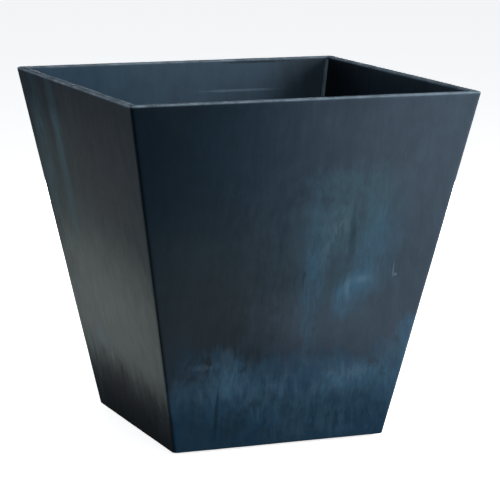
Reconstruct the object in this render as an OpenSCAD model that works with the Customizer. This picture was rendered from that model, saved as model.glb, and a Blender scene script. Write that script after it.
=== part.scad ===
// Tapered square planter box. Four mitred wall panels with a plain flat rim stand
// on rubber feet; a raised base carries the drain outlet, and a lift-out drainage
// plate keeps the soil above a shallow water reservoir.
// Millimetres, +Z up, origin on the ground under the middle of the box. Front is -Y.

/* [Body] */
// Width across the rim, to the corner that its rounded edge takes away
top_w = 450; // [390:5:600]
// Width across the foot of the walls
base_w = 280; // [250:5:340]
// Overall height from the ground to the rim
height = 440; // [350:5:600]
// Thickness of a wall panel, square to its face
wall_t = 11; // [8:0.5:14]
// Radius of the outer edge where two panels meet
corner_r = 5; // [2:0.5:8]
// Radius along both edges of the flat rim
rim_r = 2.5; // [1:0.25:3]

/* [Base] */
// Height of the base panel's underside above the ground
base_z = 30; // [26:1:60]
// Thickness of the base panel
base_t = 10; // [6:0.5:16]
// Side of the triangular sealing beads
seal_leg = 5; // [4:0.5:12]
// Width of a corner block along each wall
block_w = 50; // [44:1:70]

/* [Feet] */
// Diameter of a rubber foot
foot_d = 36; // [28:1:44]
// Height of a rubber foot
foot_h = 8; // [6:0.5:12]
// How far the feet stand proud of the walls
foot_proud = 3; // [1:0.5:5]
// Shank diameter of a foot screw
screw_d = 4.8; // [3:0.1:6]
// Length of a foot screw's shank
screw_l = 20; // [12:1:21]

/* [Drain] */
// Bore of the outlet
outlet_d = 19; // [12:0.5:26]
// Wall of the outlet's threaded tube
outlet_wall = 3; // [2:0.25:5]
// Diameter of the outlet's flange and its gasket
flange_d = 46; // [40:1:60]
// Thickness of the outlet's flange
flange_t = 3; // [2:0.25:5]
// Thickness of the gasket
gasket_t = 2; // [1:0.25:3]
// Width of the nut across its flats
nut_af = 36; // [34:1:46]
// Height of the nut
nut_h = 8; // [5:0.5:10]
// Height at which water overflows, above the base panel
overflow_h = 42; // [25:1:46]

/* [Drainage plate] */
// Height of the plate's top above the base panel
plate_rise = 60; // [60:1:90]
// Thickness of the plate
plate_t = 3.5; // [2:0.25:5]
// Depth of the plate's turned-down edge
skirt_h = 12; // [8:0.5:18]
// Clearance between the plate and the walls
plate_gap = 3; // [2:0.5:6]
// Distance between neighbouring legs
leg_pitch = 95; // [80:1:100]
// Outer diameter of a leg
leg_d = 22; // [16:0.5:28]
// Diameter of the two holes that fingers lift the plate by
finger_d = 22; // [18:1:24]
// Width of a drain slot
slot_w = 4; // [3:0.25:5]
// Distance between rows of drain slots
slot_pitch = 12; // [9:0.5:20]

/* [Hidden] */
$fn = 64;

// Turns about Z that bring a piece made on the right, or in the rear right corner, to its place
RIGHT = 0;
REAR = 90;
LEFT = 180;
FRONT = 270;
REAR_RIGHT = 0;
REAR_LEFT = 90;
FRONT_LEFT = 180;
FRONT_RIGHT = 270;

eps = 0.01;          // overlap that keeps cuts clean
glue_gap = 0.1;      // bond line between glued pieces
slip_gap = 0.05;     // radial gap where one piece slides in another
screw_gap = 0.1;     // radial gap round a screw's or outlet's thread
lip_r = 1;           // small radius on cast lower edges
corner_spare = 2;    // how far the corner's rounding tool reaches past the walls
arc_steps = 6;       // segments in a rounded corner of an outline
far = 2 * (top_w + height);

// The walls lean outwards by this angle, and their edges by corner_lean
lean = atan((top_w - base_w) / 2 / (height - foot_proud));
corner_lean = atan(sqrt(2) * tan(lean));
// Half the width across the walls' outer and inner faces at height z
function outer(z) = base_w / 2 + (z - foot_proud) * tan(lean);
function inner(z) = outer(z) - wall_t / cos(lean);

base_top = base_z + base_t;
seal_top = height - rim_r - lip_r;

foot_edge = 6;       // from the foot's side to the wall's inner face
foot_at = inner(foot_h) - foot_edge - foot_d / 2;
foot_taper = 1.5;    // how much narrower the foot is at the ground
foot_r = 2;          // radius of the foot's lower edge
foot_top_r = 0.8;
screw_head_d = 2 * screw_d;
screw_head_h = 3;
head_inset = 1.5;    // the screw head's depth inside the foot
head_gap = 0.5;      // room round the screw head
head_chamfer = 1;
drive_l = 5;         // the cross recess in a screw's head
drive_w = 1;
drive_h = 1.8;
pilot_spare = 1;     // depth of a block's screw hole past the screw's point

outlet_od = outlet_d + 2 * outlet_wall;
thread_spare = 4;    // thread left showing below the nut
outlet_bottom = base_z - nut_h - thread_spare;
outlet_end_r = 0.8;
flange_bottom = base_top + gasket_t;
flange_top = flange_bottom + flange_t;
flange_low_r = 0.5;
flange_top_r = 1.2;
plug_head_t = 4;
plug_depth = 11;
plug_slack = 1;      // radial room between the plug's core and the bore
plug_rib_h = 2;
plug_rib_in = 2;     // from the outlet's end, and from the plug's, to a rib
pull_ring_d = 14;    // outer diameter of the plug's pull ring
pull_ring_t = 3;
pipe_wall = 2;
pipe_od = outlet_d - 2 * slip_gap;
pipe_bottom = base_z + 2;
pipe_top = base_top + overflow_h;
collar_h = 3;        // the pipe's stop collar
collar_w = 3;
strainer_wall = 2;
strainer_od = pipe_od + 2 * (screw_gap + strainer_wall);
strainer_h = 9;      // height of the strainer above the pipe's end
strainer_grip = 8;   // how far it reaches down over the pipe
strainer_r = 1.5;
strainer_slots = 12;
strainer_slot_w = 2.5;
strainer_slot_in = 1; // from a slot's ends to the pipe's end and the cap's underside

plate_top = base_top + plate_rise;
plate_bottom = plate_top - plate_t;
plate_half = inner(plate_top - skirt_h) - plate_gap;
skirt_t = 3;
plate_corner_r = skirt_t + 2 * seal_leg;
leg_wall = 2.5;
socket_wall = 2.5;
socket_h = 8;
socket_od = leg_d + 2 * (screw_gap + socket_wall);
notch_w = 6;         // the water notches at a leg's foot
notch_h = 8;
slot_web = 9;        // plate left between a slot's end and the next slot or leg's row
slot_side = 3;       // plate left between a slot's side and a socket

// ---- Outlines -------------------------------------------------------------

function unit(v) = v / norm(v);
function along_circle(angle) = [cos(angle), sin(angle)];

// The points that replace corner b, between a and c, by an arc of radius r
function arc_at(a, b, c, r) =
    r == 0 ? [b] :
    let (
        to_a = unit(a - b),
        to_c = unit(c - b),
        half = acos(to_a * to_c) / 2,
        centre = b + unit(to_a + to_c) * r / sin(half),
        first = b + to_a * r / tan(half) - centre,
        last = b + to_c * r / tan(half) - centre,
        start = atan2(first.y, first.x),
        swing = atan2(last.y, last.x) - start,
        turn = swing > 180 ? swing - 360 : swing < -180 ? swing + 360 : swing
    )
    [for (i = [0:arc_steps]) centre + r * along_circle(start + turn * i / arc_steps)];

// An outline with each corner rounded by its own radius
function rounded(corners, radii) =
    let (n = len(corners))
    [for (i = [0:n - 1]) each arc_at(corners[(i + n - 1) % n], corners[i], corners[(i + 1) % n], radii[i])];

function square_points(half) = [[half, half], [-half, half], [-half, -half], [half, -half]];

// A solid between two outlines with the same number of points, both anticlockwise
module loft(lower, lower_z, upper, upper_z) {
    n = len(lower);
    points = concat([for (p = lower) [p.x, p.y, lower_z]], [for (p = upper) [p.x, p.y, upper_z]]);
    sides = [for (i = [0:n - 1]) [i, n + i, n + (i + 1) % n, (i + 1) % n]];
    polyhedron(points, concat([[for (i = [0:n - 1]) i]], sides, [[for (i = [n - 1:-1:0]) n + i]]));
}

// A round solid from an outline of [radius, height] points
module turned(points) {
    rotate_extrude() polygon(points);
}

module tube(d_out, d_in, from_z, to_z) {
    translate([0, 0, from_z])
    difference() {
        cylinder(d = d_out, h = to_z - from_z);
        translate([0, 0, -eps]) cylinder(d = d_in, h = to_z - from_z + 2 * eps);
    }
}

// Everything beyond the walls' inner faces, moved inwards by gap
module beyond_walls(gap) {
    for (turn = [RIGHT, REAR, LEFT, FRONT])
        rotate([0, 0, turn])
        translate([inner(0), 0, 0])
        rotate([0, lean, 0])
        translate([-gap, -far / 2, -far / 2])
        cube([far, far, far]);
}

// ---- Walls ----------------------------------------------------------------

// The wall's section on the right-hand side, as [distance from the middle, height]
function wall_section() = rounded(
    [
        [outer(foot_proud), foot_proud],
        [top_w / 2, height],
        [inner(height), height],
        [inner(foot_proud), foot_proud]
    ],
    [lip_r, rim_r, rim_r, lip_r]
);

// What rounds off the outer edge in the rear right corner
module corner_round() {
    half = acos(pow(sin(lean), 2)) / 2;
    centre = [-corner_r / cos(half), 0];
    arc = [for (i = [0:arc_steps]) centre + corner_r * along_circle(half - 2 * half * i / arc_steps)];
    outside = [for (a = [-half, half]) centre + (corner_r + corner_spare) * along_circle(a)];
    translate([outer(foot_proud), outer(foot_proud), foot_proud])
    rotate([0, corner_lean, 45])
    translate([0, 0, -far / 2])
    linear_extrude(far)
    polygon(concat(arc, [outside[0], [corner_spare, 0], outside[1]]));
}

module wall_panel(turn) {
    color("#1f2d36")
    rotate([0, 0, turn])
    difference() {
        intersection() {
            rotate([90, 0, 0]) linear_extrude(far, center = true) polygon(wall_section());
            linear_extrude(height + 1) polygon([[0, 0], [far, -far], [far, far]]);
        }
        corner_round();
        rotate([0, 0, -90]) corner_round();
    }
}

// ---- Seals ----------------------------------------------------------------

// The plan of a corner bead whose back is at c, with a slightly full face
function bead_plan(c) = [
    [c, c],
    for (i = [0:arc_steps])
        let (t = i / arc_steps, fullness = seal_leg / 8 * sin(180 * t))
        [c - seal_leg * (1 - t) - fullness, c - seal_leg * t - fullness]
];

module corner_seal(turn) {
    low = base_top + seal_leg + glue_gap;
    color("#39444b")
    rotate([0, 0, turn])
    loft(bead_plan(inner(low) - glue_gap), low, bead_plan(inner(seal_top) - glue_gap), seal_top);
}

module base_seal() {
    low = base_top;
    high = base_top + seal_leg;
    thin = seal_leg / 8;
    color("#39444b")
    difference() {
        loft(square_points(inner(low) - glue_gap), low, square_points(inner(high) - glue_gap), high);
        loft(
            square_points(inner(low) - seal_leg), low - eps,
            square_points(inner(high) - thin), high + eps
        );
    }
}

// ---- Base and feet --------------------------------------------------------

module base_panel() {
    side = 2 * (inner(base_z) - glue_gap);
    color("#232d33")
    difference() {
        translate([-side / 2, -side / 2, base_z]) cube([side, side, base_t]);
        translate([0, 0, base_z - eps]) cylinder(d = outlet_od + 2 * screw_gap, h = base_t + 2 * eps);
    }
}

module corner_block(turn) {
    near = inner(base_z) - block_w;
    pilot_top = head_inset + screw_head_h + screw_l + pilot_spare;
    color("#4a4f50")
    rotate([0, 0, turn])
    difference() {
        translate([near, near, foot_h]) cube([2 * block_w, 2 * block_w, base_z - foot_h]);
        beyond_walls(glue_gap);
        translate([foot_at, foot_at, foot_h - eps])
            cylinder(d = screw_d + 2 * screw_gap, h = pilot_top - foot_h);
    }
}

module rubber_foot(turn) {
    recess_d = screw_head_d + 2 * head_gap;
    seat = head_inset + screw_head_h;
    color("#161616")
    rotate([0, 0, turn])
    translate([foot_at, foot_at, 0])
    turned(rounded(
        [
            [recess_d / 2, 0],
            [foot_d / 2 - foot_taper, 0],
            [foot_d / 2, foot_h],
            [screw_d / 2 + screw_gap, foot_h],
            [screw_d / 2 + screw_gap, seat],
            [recess_d / 2, seat]
        ],
        [0, foot_r, foot_top_r, 0, 0, 0]
    ));
}

module foot_screw() {
    shank_top = head_inset + screw_head_h + screw_l;
    difference() {
        turned([
            [0, head_inset],
            [screw_head_d / 2 - head_chamfer, head_inset],
            [screw_head_d / 2, head_inset + head_chamfer],
            [screw_head_d / 2, head_inset + screw_head_h],
            [screw_d / 2, head_inset + screw_head_h],
            [screw_d / 2, shank_top - screw_d],
            [0, shank_top]
        ]);
        for (turn = [0, 90])
            rotate([0, 0, turn])
            translate([-drive_l / 2, -drive_w / 2, head_inset - eps])
            cube([drive_l, drive_w, drive_h]);
    }
}

module foot_screws() {
    color("#a9adb0")
    for (turn = [REAR_RIGHT, REAR_LEFT, FRONT_LEFT, FRONT_RIGHT])
        rotate([0, 0, turn]) translate([foot_at, foot_at, 0]) foot_screw();
}

// ---- Drain ----------------------------------------------------------------

module drain_bush() {
    color("#1b1b1c")
    turned(rounded(
        [
            [outlet_d / 2, outlet_bottom],
            [outlet_od / 2, outlet_bottom],
            [outlet_od / 2, flange_bottom],
            [flange_d / 2, flange_bottom],
            [flange_d / 2, flange_top],
            [outlet_d / 2, flange_top]
        ],
        [0, outlet_end_r, 0, flange_low_r, flange_top_r, 0]
    ));
}

module drain_gasket() {
    color("#2a2a2a") tube(flange_d, outlet_od + 2 * screw_gap, base_top, base_top + gasket_t);
}

module drain_nut() {
    color("#1b1b1c")
    translate([0, 0, base_z - nut_h])
    difference() {
        cylinder(d = nut_af / cos(30), h = nut_h, $fn = 6);
        translate([0, 0, -eps]) cylinder(d = outlet_od + 2 * screw_gap, h = nut_h + 2 * eps);
    }
}

module drain_plug() {
    head_z = outlet_bottom - plug_head_t;
    ring_z = head_z - pull_ring_d / 2 + pull_ring_t / 2;
    last_rib = outlet_bottom + plug_depth - plug_rib_in - plug_rib_h;
    color("#191919")
    difference() {
        union() {
            translate([0, 0, head_z]) cylinder(d = outlet_od, h = plug_head_t);
            translate([0, 0, head_z]) cylinder(d = outlet_d - 2 * plug_slack, h = plug_head_t + plug_depth);
            for (z = [outlet_bottom + plug_rib_in, last_rib])
                translate([0, 0, z]) cylinder(d = outlet_d - 2 * slip_gap, h = plug_rib_h);
            translate([0, 0, ring_z])
                rotate([90, 0, 0])
                cylinder(d = pull_ring_d, h = pull_ring_t, center = true);
        }
        translate([0, 0, ring_z - pull_ring_t / 2])
            rotate([90, 0, 0])
            cylinder(d = pull_ring_d - 2 * pull_ring_t, h = far, center = true);
    }
}

module overflow_pipe() {
    color("#222325") {
        tube(pipe_od, pipe_od - 2 * pipe_wall, pipe_bottom, pipe_top);
        tube(pipe_od + 2 * collar_w, pipe_od - pipe_wall, flange_top, flange_top + collar_h);
    }
}

module overflow_strainer() {
    top = pipe_top + strainer_h;
    color("#222325")
    difference() {
        turned(rounded(
            [
                [pipe_od / 2 + screw_gap, pipe_top - strainer_grip],
                [strainer_od / 2, pipe_top - strainer_grip],
                [strainer_od / 2, top],
                [0, top],
                [0, top - strainer_wall],
                [pipe_od / 2 - pipe_wall, top - strainer_wall],
                [pipe_od / 2 - pipe_wall, pipe_top],
                [pipe_od / 2 + screw_gap, pipe_top]
            ],
            [0, 0, strainer_r, 0, 0, 0, 0, 0]
        ));
        for (i = [0:strainer_slots / 2 - 1])
            rotate([0, 0, 360 / strainer_slots * i])
            translate([-strainer_od, -strainer_slot_w / 2, pipe_top + strainer_slot_in])
            cube([2 * strainer_od, strainer_slot_w, strainer_h - strainer_wall - 2 * strainer_slot_in]);
    }
}

// ---- Drainage plate -------------------------------------------------------

// The legs stand on a three by three grid that leaves out the middle
leg_places = [
    for (x = [-1:1], y = [-1:1])
        if (x != 0 || y != 0) [x * leg_pitch, y * leg_pitch]
];

// Rows keep clear of the sockets and leave a plain strip between them
row_start = socket_od / 2 + slot_side + slot_w / 2;
row_end = plate_half - skirt_t - slot_side - slot_w / 2;
slot_rows = [
    for (y = [row_start:slot_pitch:leg_pitch - row_start]) y,
    for (y = [leg_pitch + row_start:slot_pitch:row_end]) y
];
inner_slot_l = (leg_pitch - 3 * slot_web) / 2;
outer_slot_l = plate_half - skirt_t - leg_pitch - 2 * slot_web;
// Each slot in a row as [middle, length]
slot_columns = [
    [slot_web + inner_slot_l / 2, inner_slot_l],
    [leg_pitch - slot_web - inner_slot_l / 2, inner_slot_l],
    [leg_pitch + slot_web + outer_slot_l / 2, outer_slot_l]
];

module slot(l) {
    square([l - slot_w, slot_w], center = true);
    for (end = [-1, 1]) translate([end * (l - slot_w) / 2, 0]) circle(d = slot_w);
}

module plate_plan(half) {
    r = plate_corner_r - (plate_half - half);
    polygon(rounded(square_points(half), [r, r, r, r]));
}

module drainage_plate() {
    color("#2b2d2f")
    difference() {
        union() {
            translate([0, 0, plate_bottom])
            linear_extrude(plate_t)
            difference() {
                plate_plan(plate_half);
                for (sx = [-1, 1], sy = [-1, 1], column = slot_columns, row = slot_rows)
                    translate([sx * column[0], sy * row]) slot(column[1]);
            }
            translate([0, 0, plate_top - skirt_h])
            linear_extrude(skirt_h - plate_t + eps)
            difference() {
                plate_plan(plate_half);
                plate_plan(plate_half - skirt_t);
            }
            for (place = leg_places)
                translate([place.x, place.y, plate_bottom - socket_h])
                cylinder(d = socket_od, h = socket_h + eps);
        }
        for (place = leg_places)
            translate([place.x, place.y, plate_bottom - socket_h - eps])
            cylinder(d = leg_d + 2 * screw_gap, h = socket_h + eps);
        for (side = [-1, 1])
            translate([side * leg_pitch / 2, 0, plate_bottom - eps])
            cylinder(d = finger_d, h = plate_t + 2 * eps);
    }
}

// A leg at a place on the grid, counted from the middle
module plate_leg(across, along) {
    color("#2b2d2f")
    translate([across * leg_pitch, along * leg_pitch, 0])
    difference() {
        tube(leg_d, leg_d - 2 * leg_wall, base_top, plate_bottom);
        for (turn = [0, 90])
            rotate([0, 0, turn])
            translate([-leg_d, -notch_w / 2, base_top - eps])
            cube([2 * leg_d, notch_w, notch_h + eps]);
    }
}

// ---- Nodes ----------------------------------------------------------------

wall_panel(FRONT);  // front_panel
wall_panel(REAR);  // rear_panel
wall_panel(LEFT);  // left_panel
wall_panel(RIGHT);  // right_panel
corner_seal(FRONT_LEFT);  // corner_seal_front_left
corner_seal(FRONT_RIGHT);  // corner_seal_front_right
corner_seal(REAR_LEFT);  // corner_seal_rear_left
corner_seal(REAR_RIGHT);  // corner_seal_rear_right
base_panel();
base_seal();
corner_block(FRONT_LEFT);  // corner_block_front_left
corner_block(FRONT_RIGHT);  // corner_block_front_right
corner_block(REAR_LEFT);  // corner_block_rear_left
corner_block(REAR_RIGHT);  // corner_block_rear_right
rubber_foot(FRONT_LEFT);  // rubber_foot_front_left
rubber_foot(FRONT_RIGHT);  // rubber_foot_front_right
rubber_foot(REAR_LEFT);  // rubber_foot_rear_left
rubber_foot(REAR_RIGHT);  // rubber_foot_rear_right
foot_screws();
drain_bush();
drain_gasket();
drain_nut();
drain_plug();
overflow_pipe();
overflow_strainer();
drainage_plate();
plate_leg(-1, -1);  // plate_leg_front_left
plate_leg(0, -1);  // plate_leg_front
plate_leg(1, -1);  // plate_leg_front_right
plate_leg(-1, 0);  // plate_leg_left
plate_leg(1, 0);  // plate_leg_right
plate_leg(-1, 1);  // plate_leg_rear_left
plate_leg(0, 1);  // plate_leg_rear
plate_leg(1, 1);  // plate_leg_rear_right
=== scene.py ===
"""Looks of a tapered square planter box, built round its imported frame.

The walls are cast, mitred at the corners and stained by hand; the beads, base, drain, feet and
drainage plate are shaped as separate pieces. Everything is in metres, +Z up, front at -Y.
"""

import logging
import math
from collections.abc import Callable, Iterable, Sequence
from dataclasses import dataclass, field
from enum import Enum
from typing import Any

import bmesh
import bpy
from mathutils import Matrix, Vector


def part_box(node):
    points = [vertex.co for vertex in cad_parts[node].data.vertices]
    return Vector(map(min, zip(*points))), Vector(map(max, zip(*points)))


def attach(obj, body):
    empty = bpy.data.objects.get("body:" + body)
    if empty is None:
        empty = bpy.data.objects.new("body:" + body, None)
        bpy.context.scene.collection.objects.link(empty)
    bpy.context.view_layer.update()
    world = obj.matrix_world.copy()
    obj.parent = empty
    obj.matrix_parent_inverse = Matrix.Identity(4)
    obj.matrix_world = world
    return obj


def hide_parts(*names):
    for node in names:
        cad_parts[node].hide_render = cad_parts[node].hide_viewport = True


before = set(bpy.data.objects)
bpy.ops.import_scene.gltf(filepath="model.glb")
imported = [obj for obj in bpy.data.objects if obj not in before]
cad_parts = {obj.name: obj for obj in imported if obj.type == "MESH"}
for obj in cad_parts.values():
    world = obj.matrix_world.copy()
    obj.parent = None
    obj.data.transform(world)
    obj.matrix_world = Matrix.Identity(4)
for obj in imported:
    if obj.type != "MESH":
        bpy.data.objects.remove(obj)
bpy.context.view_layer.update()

LOG = logging.getLogger("planter")
MM = 0.001
NEAR = 1e-5
SMOOTH_ANGLE = math.radians(35)
# How far a cutter passes the piece it cuts
CLEAR = 5 * MM
# Flats round a large, a middling, a leg's and a small turned shape
FLATS_LARGE = 96
FLATS_MIDDLE = 72
FLATS_LEG = 64
FLATS_SMALL = 40
Colour = tuple[float, float, float]
Point = tuple[float, float]
Socket = Any


class Turn(Enum):
    """How far a piece made at the front, or in the front left corner, is turned about Z."""

    FRONT = 0
    RIGHT = 90
    REAR = 180
    LEFT = 270

    @property
    def radians(self) -> float:
        """The turn in radians."""
        return math.radians(self.value)


# ---- Sizes ------------------------------------------------------------------


@dataclass(frozen=True)
class Taper:
    """The leaning walls' driving sizes.

    Args:
        rim_half: half the width across the rim, to its sharp corner.
        foot_half: half the width across the foot of the walls.
        foot_z: height of the walls' lower edge.
        rim_z: height of the rim's flat top.
        wall: thickness of a wall, square to its face.
        rim_round: radius along the rim's edges.
        lip_round: radius along the walls' lower edge.
        corner_round: radius of the outer edge between two walls.
    """

    rim_half: float = 225 * MM
    foot_half: float = 140 * MM
    foot_z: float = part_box("front_panel")[0].z
    rim_z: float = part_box("front_panel")[1].z
    wall: float = 11 * MM
    rim_round: float = 2.5 * MM
    lip_round: float = 1 * MM
    corner_round: float = 5 * MM

    @property
    def slope(self) -> float:
        """How far the walls move outwards for each metre of height."""
        return (self.rim_half - self.foot_half) / (self.rim_z - self.foot_z)

    def outer(self, z: float) -> float:
        """Half the width across the outer faces at height z."""
        return self.foot_half + (z - self.foot_z) * self.slope

    def inner(self, z: float) -> float:
        """Half the width across the inner faces at height z."""
        return self.outer(z) - self.wall * math.hypot(1, self.slope)


TAPER = Taper()
CORNERS = {
    "front_left": Turn.FRONT,
    "front_right": Turn.RIGHT,
    "rear_right": Turn.REAR,
    "rear_left": Turn.LEFT,
}


# ---- Working on meshes --------------------------------------------------------


def activate(piece: bpy.types.Object) -> None:
    """Makes a piece the only selected object and the active one.

    Args:
        piece: the piece to work on.
    """
    if bpy.context.object and bpy.context.object.mode != "OBJECT":
        bpy.ops.object.mode_set(mode="OBJECT")
    bpy.ops.object.select_all(action="DESELECT")
    piece.select_set(True)
    bpy.context.view_layer.objects.active = piece


def start(name: str, primitive: Callable[..., Any], **settings: Any) -> bpy.types.Object:
    """Adds a primitive and opens it in edit mode with all of it selected.

    Args:
        name: the piece's name.
        primitive: one of bpy.ops.mesh's primitive operators.
        settings: the operator's own settings, in metres and radians.

    Returns:
        The new object, in edit mode.
    """
    if bpy.context.object and bpy.context.object.mode != "OBJECT":
        bpy.ops.object.mode_set(mode="OBJECT")
    bpy.ops.object.select_all(action="DESELECT")
    primitive(**settings)
    piece = bpy.context.object
    piece.name = name
    piece.data.name = name
    bpy.ops.object.transform_apply(location=True, rotation=True, scale=True)
    bpy.ops.object.mode_set(mode="EDIT")
    bpy.ops.mesh.select_all(action="SELECT")
    return piece


def edit(piece: bpy.types.Object) -> None:
    """Opens a piece in edit mode with nothing selected."""
    activate(piece)
    bpy.ops.object.mode_set(mode="EDIT")
    bpy.ops.mesh.select_all(action="DESELECT")


def select_edges(piece: bpy.types.Object, test: Callable[[Vector, Vector], bool]) -> int:
    """Selects, in edit mode, the edges whose two ends pass a test.

    Args:
        piece: the object in edit mode.
        test: says whether the edge between two points is wanted.

    Returns:
        How many edges are selected.
    """
    bpy.ops.mesh.select_mode(type="EDGE")
    bpy.ops.mesh.select_all(action="DESELECT")
    mesh = bmesh.from_edit_mesh(piece.data)
    for edge in mesh.edges:
        edge.select_set(test(edge.verts[0].co, edge.verts[1].co))
    mesh.select_flush_mode()
    bmesh.update_edit_mesh(piece.data)
    return sum(edge.select for edge in mesh.edges)


def select_faces(piece: bpy.types.Object, test: Callable[[Vector, Vector], bool]) -> int:
    """Selects, in edit mode, the faces whose middle and normal pass a test.

    Args:
        piece: the object in edit mode.
        test: says whether the face with that middle and normal is wanted.

    Returns:
        How many faces are selected.
    """
    bpy.ops.mesh.select_mode(type="FACE")
    bpy.ops.mesh.select_all(action="DESELECT")
    mesh = bmesh.from_edit_mesh(piece.data)
    for face in mesh.faces:
        face.select_set(test(face.calc_center_median(), face.normal))
    mesh.select_flush_mode()
    bmesh.update_edit_mesh(piece.data)
    return sum(face.select for face in mesh.faces)


def apply_modifier(piece: bpy.types.Object, kind: str, **settings: Any) -> None:
    """Adds a modifier with its settings to a piece and applies it.

    Args:
        piece: the object.
        kind: the modifier's type, such as BEVEL.
        settings: the modifier's own properties.
    """
    activate(piece)
    modifier = piece.modifiers.new(kind.title(), kind)
    for name, value in settings.items():
        setattr(modifier, name, value)
    bpy.ops.object.modifier_apply(modifier=modifier.name)


def roughen(piece: bpy.types.Object, size: float, depth: float, name: str, middle: float = 0.5) -> None:
    """Moves a piece's surface in and out by soft noise.

    Args:
        piece: the object.
        size: how far apart the highs and lows are.
        depth: the greatest distance between a high and a low.
        name: the noise's name, which pieces with the same settings share.
        middle: 0.5 moves as much out as in, and 1 only in.
    """
    texture = bpy.data.textures.get(name) or bpy.data.textures.new(name, "CLOUDS")
    texture.noise_scale = size
    texture.noise_depth = 2
    apply_modifier(
        piece, "DISPLACE", texture=texture, texture_coords="LOCAL", strength=depth, mid_level=middle
    )


def copy_of(piece: bpy.types.Object, name: str, change: Matrix = Matrix.Identity(4)) -> bpy.types.Object:
    """Copies a piece with its own mesh, moved in the mesh.

    Args:
        piece: the object to copy.
        name: the copy's name.
        change: the move or turn given to the copy's mesh.

    Returns:
        The copy.
    """
    twin = piece.copy()
    twin.data = piece.data.copy()
    twin.name = name
    twin.data.name = name
    twin.data.transform(change)
    if change.determinant() < 0:
        twin.data.flip_normals()
    bpy.context.scene.collection.objects.link(twin)
    return twin


def brick(
    name: str, middle: Sequence[float], size: Sequence[float], turn: float = 0.0
) -> bpy.types.Object:
    """Adds a box and opens it in edit mode.

    Args:
        name: the piece's name.
        middle: its middle.
        size: its width, depth and height.
        turn: how far it is turned about Z, in radians.

    Returns:
        The box, in edit mode.
    """
    return start(
        name, bpy.ops.mesh.primitive_cube_add, size=1, location=middle, scale=size, rotation=(0, 0, turn)
    )


def slice_off(point: Sequence[float], normal: Sequence[float]) -> None:
    """Cuts away what lies beyond a plane from the piece in edit mode, and closes the cut.

    Args:
        point: a point on the plane.
        normal: points to the side that goes.
    """
    bpy.ops.mesh.select_all(action="SELECT")
    bpy.ops.mesh.bisect(plane_co=point, plane_no=normal, clear_outer=True, use_fill=True)


def close_up(piece: bpy.types.Object) -> None:
    """Merges doubles, turns every face outwards and leaves edit mode.

    Args:
        piece: the piece, in edit mode.
    """
    bpy.ops.mesh.select_mode(type="VERT")
    bpy.ops.mesh.select_all(action="SELECT")
    bpy.ops.mesh.remove_doubles(threshold=NEAR)
    bpy.ops.mesh.normals_make_consistent(inside=False)
    bpy.ops.object.mode_set(mode="OBJECT")
    activate(piece)


def drop_slivers(piece: bpy.types.Object) -> None:
    """Removes the faces of no area that a cut or a rounded edge leaves behind.

    Args:
        piece: the piece, in object mode.
    """
    edit(piece)
    bpy.ops.mesh.select_mode(type="VERT")
    bpy.ops.mesh.select_all(action="SELECT")
    bpy.ops.mesh.dissolve_degenerate(threshold=NEAR)
    close_up(piece)


def hand_over(
    piece: bpy.types.Object,
    finish: bpy.types.Material,
    body: str,
    nodes: Iterable[str] = (),
    smooth: float = SMOOTH_ANGLE,
) -> bpy.types.Object:
    """Finishes a piece: smooth shading, its material, its body and what it replaces.

    Args:
        piece: the shaped object.
        finish: its material.
        body: the CAD body it moves with.
        nodes: the CAD nodes it stands for.
        smooth: edges sharper than this angle stay sharp.

    Returns:
        The same object.
    """
    if not piece.data.polygons:
        raise ValueError(f"{piece.name} has no faces")
    activate(piece)
    bpy.ops.object.transform_apply(location=True, rotation=True, scale=True)
    bpy.ops.object.shade_smooth_by_angle(angle=smooth)
    piece.data.materials.clear()
    piece.data.materials.append(finish)
    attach(piece, body)
    named = list(nodes)
    if named:
        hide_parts(*named)
    LOG.info("%s: %d faces, rides on %s", piece.name, len(piece.data.polygons), body)
    return piece


def unit(x: float, y: float) -> Point:
    """The unit vector along (x, y)."""
    length = math.hypot(x, y)
    return x / length, y / length


def round_corner(before: Point, corner: Point, after: Point, radius: float, steps: int) -> list[Point]:
    """Replaces a corner of an outline by an arc that touches both its sides.

    Args:
        before: the outline's point before the corner.
        corner: the corner.
        after: the outline's point after the corner.
        radius: the arc's radius; 0 keeps the corner.
        steps: how many straight steps the arc has.

    Returns:
        The arc's points in order.
    """
    if radius == 0:
        return [corner]
    ax, ay = unit(before[0] - corner[0], before[1] - corner[1])
    cx, cy = unit(after[0] - corner[0], after[1] - corner[1])
    half = math.acos(max(-1.0, min(1.0, ax * cx + ay * cy))) / 2
    bx, by = unit(ax + cx, ay + cy)
    mid = (corner[0] + bx * radius / math.sin(half), corner[1] + by * radius / math.sin(half))
    reach = radius / math.tan(half)
    first = math.atan2(corner[1] + ay * reach - mid[1], corner[0] + ax * reach - mid[0])
    last = math.atan2(corner[1] + cy * reach - mid[1], corner[0] + cx * reach - mid[0])
    swing = (last - first + math.pi) % (2 * math.pi) - math.pi
    angles = [first + swing * i / steps for i in range(steps + 1)]
    return [(mid[0] + radius * math.cos(a), mid[1] + radius * math.sin(a)) for a in angles]


def rounded(corners: Sequence[Point], radii: Sequence[float], steps: int = 5) -> list[Point]:
    """A closed outline with each corner rounded by its own radius.

    Args:
        corners: the outline's sharp corners, in order.
        radii: one for each corner.
        steps: stretches round each corner.

    Returns:
        The outline's points in order.
    """
    count = len(corners)
    points: list[Point] = []
    for i, radius in enumerate(radii):
        points += round_corner(corners[i - 1], corners[i], corners[(i + 1) % count], radius, steps)
    return points


def divided(points: Sequence[Point], longest: float) -> list[Point]:
    """A closed outline with its long straight runs cut into equal stretches.

    Args:
        points: the outline's points.
        longest: no stretch comes out longer than this.

    Returns:
        The outline's old and new points in order, without the first one repeated.
    """
    result: list[Point] = []
    for (x0, y0), (x1, y1) in zip(points, [*points[1:], points[0]]):
        count = max(1, math.ceil(math.hypot(x1 - x0, y1 - y0) / longest))
        result += [(x0 + (x1 - x0) * i / count, y0 + (y1 - y0) * i / count) for i in range(count)]
    return result


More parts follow.
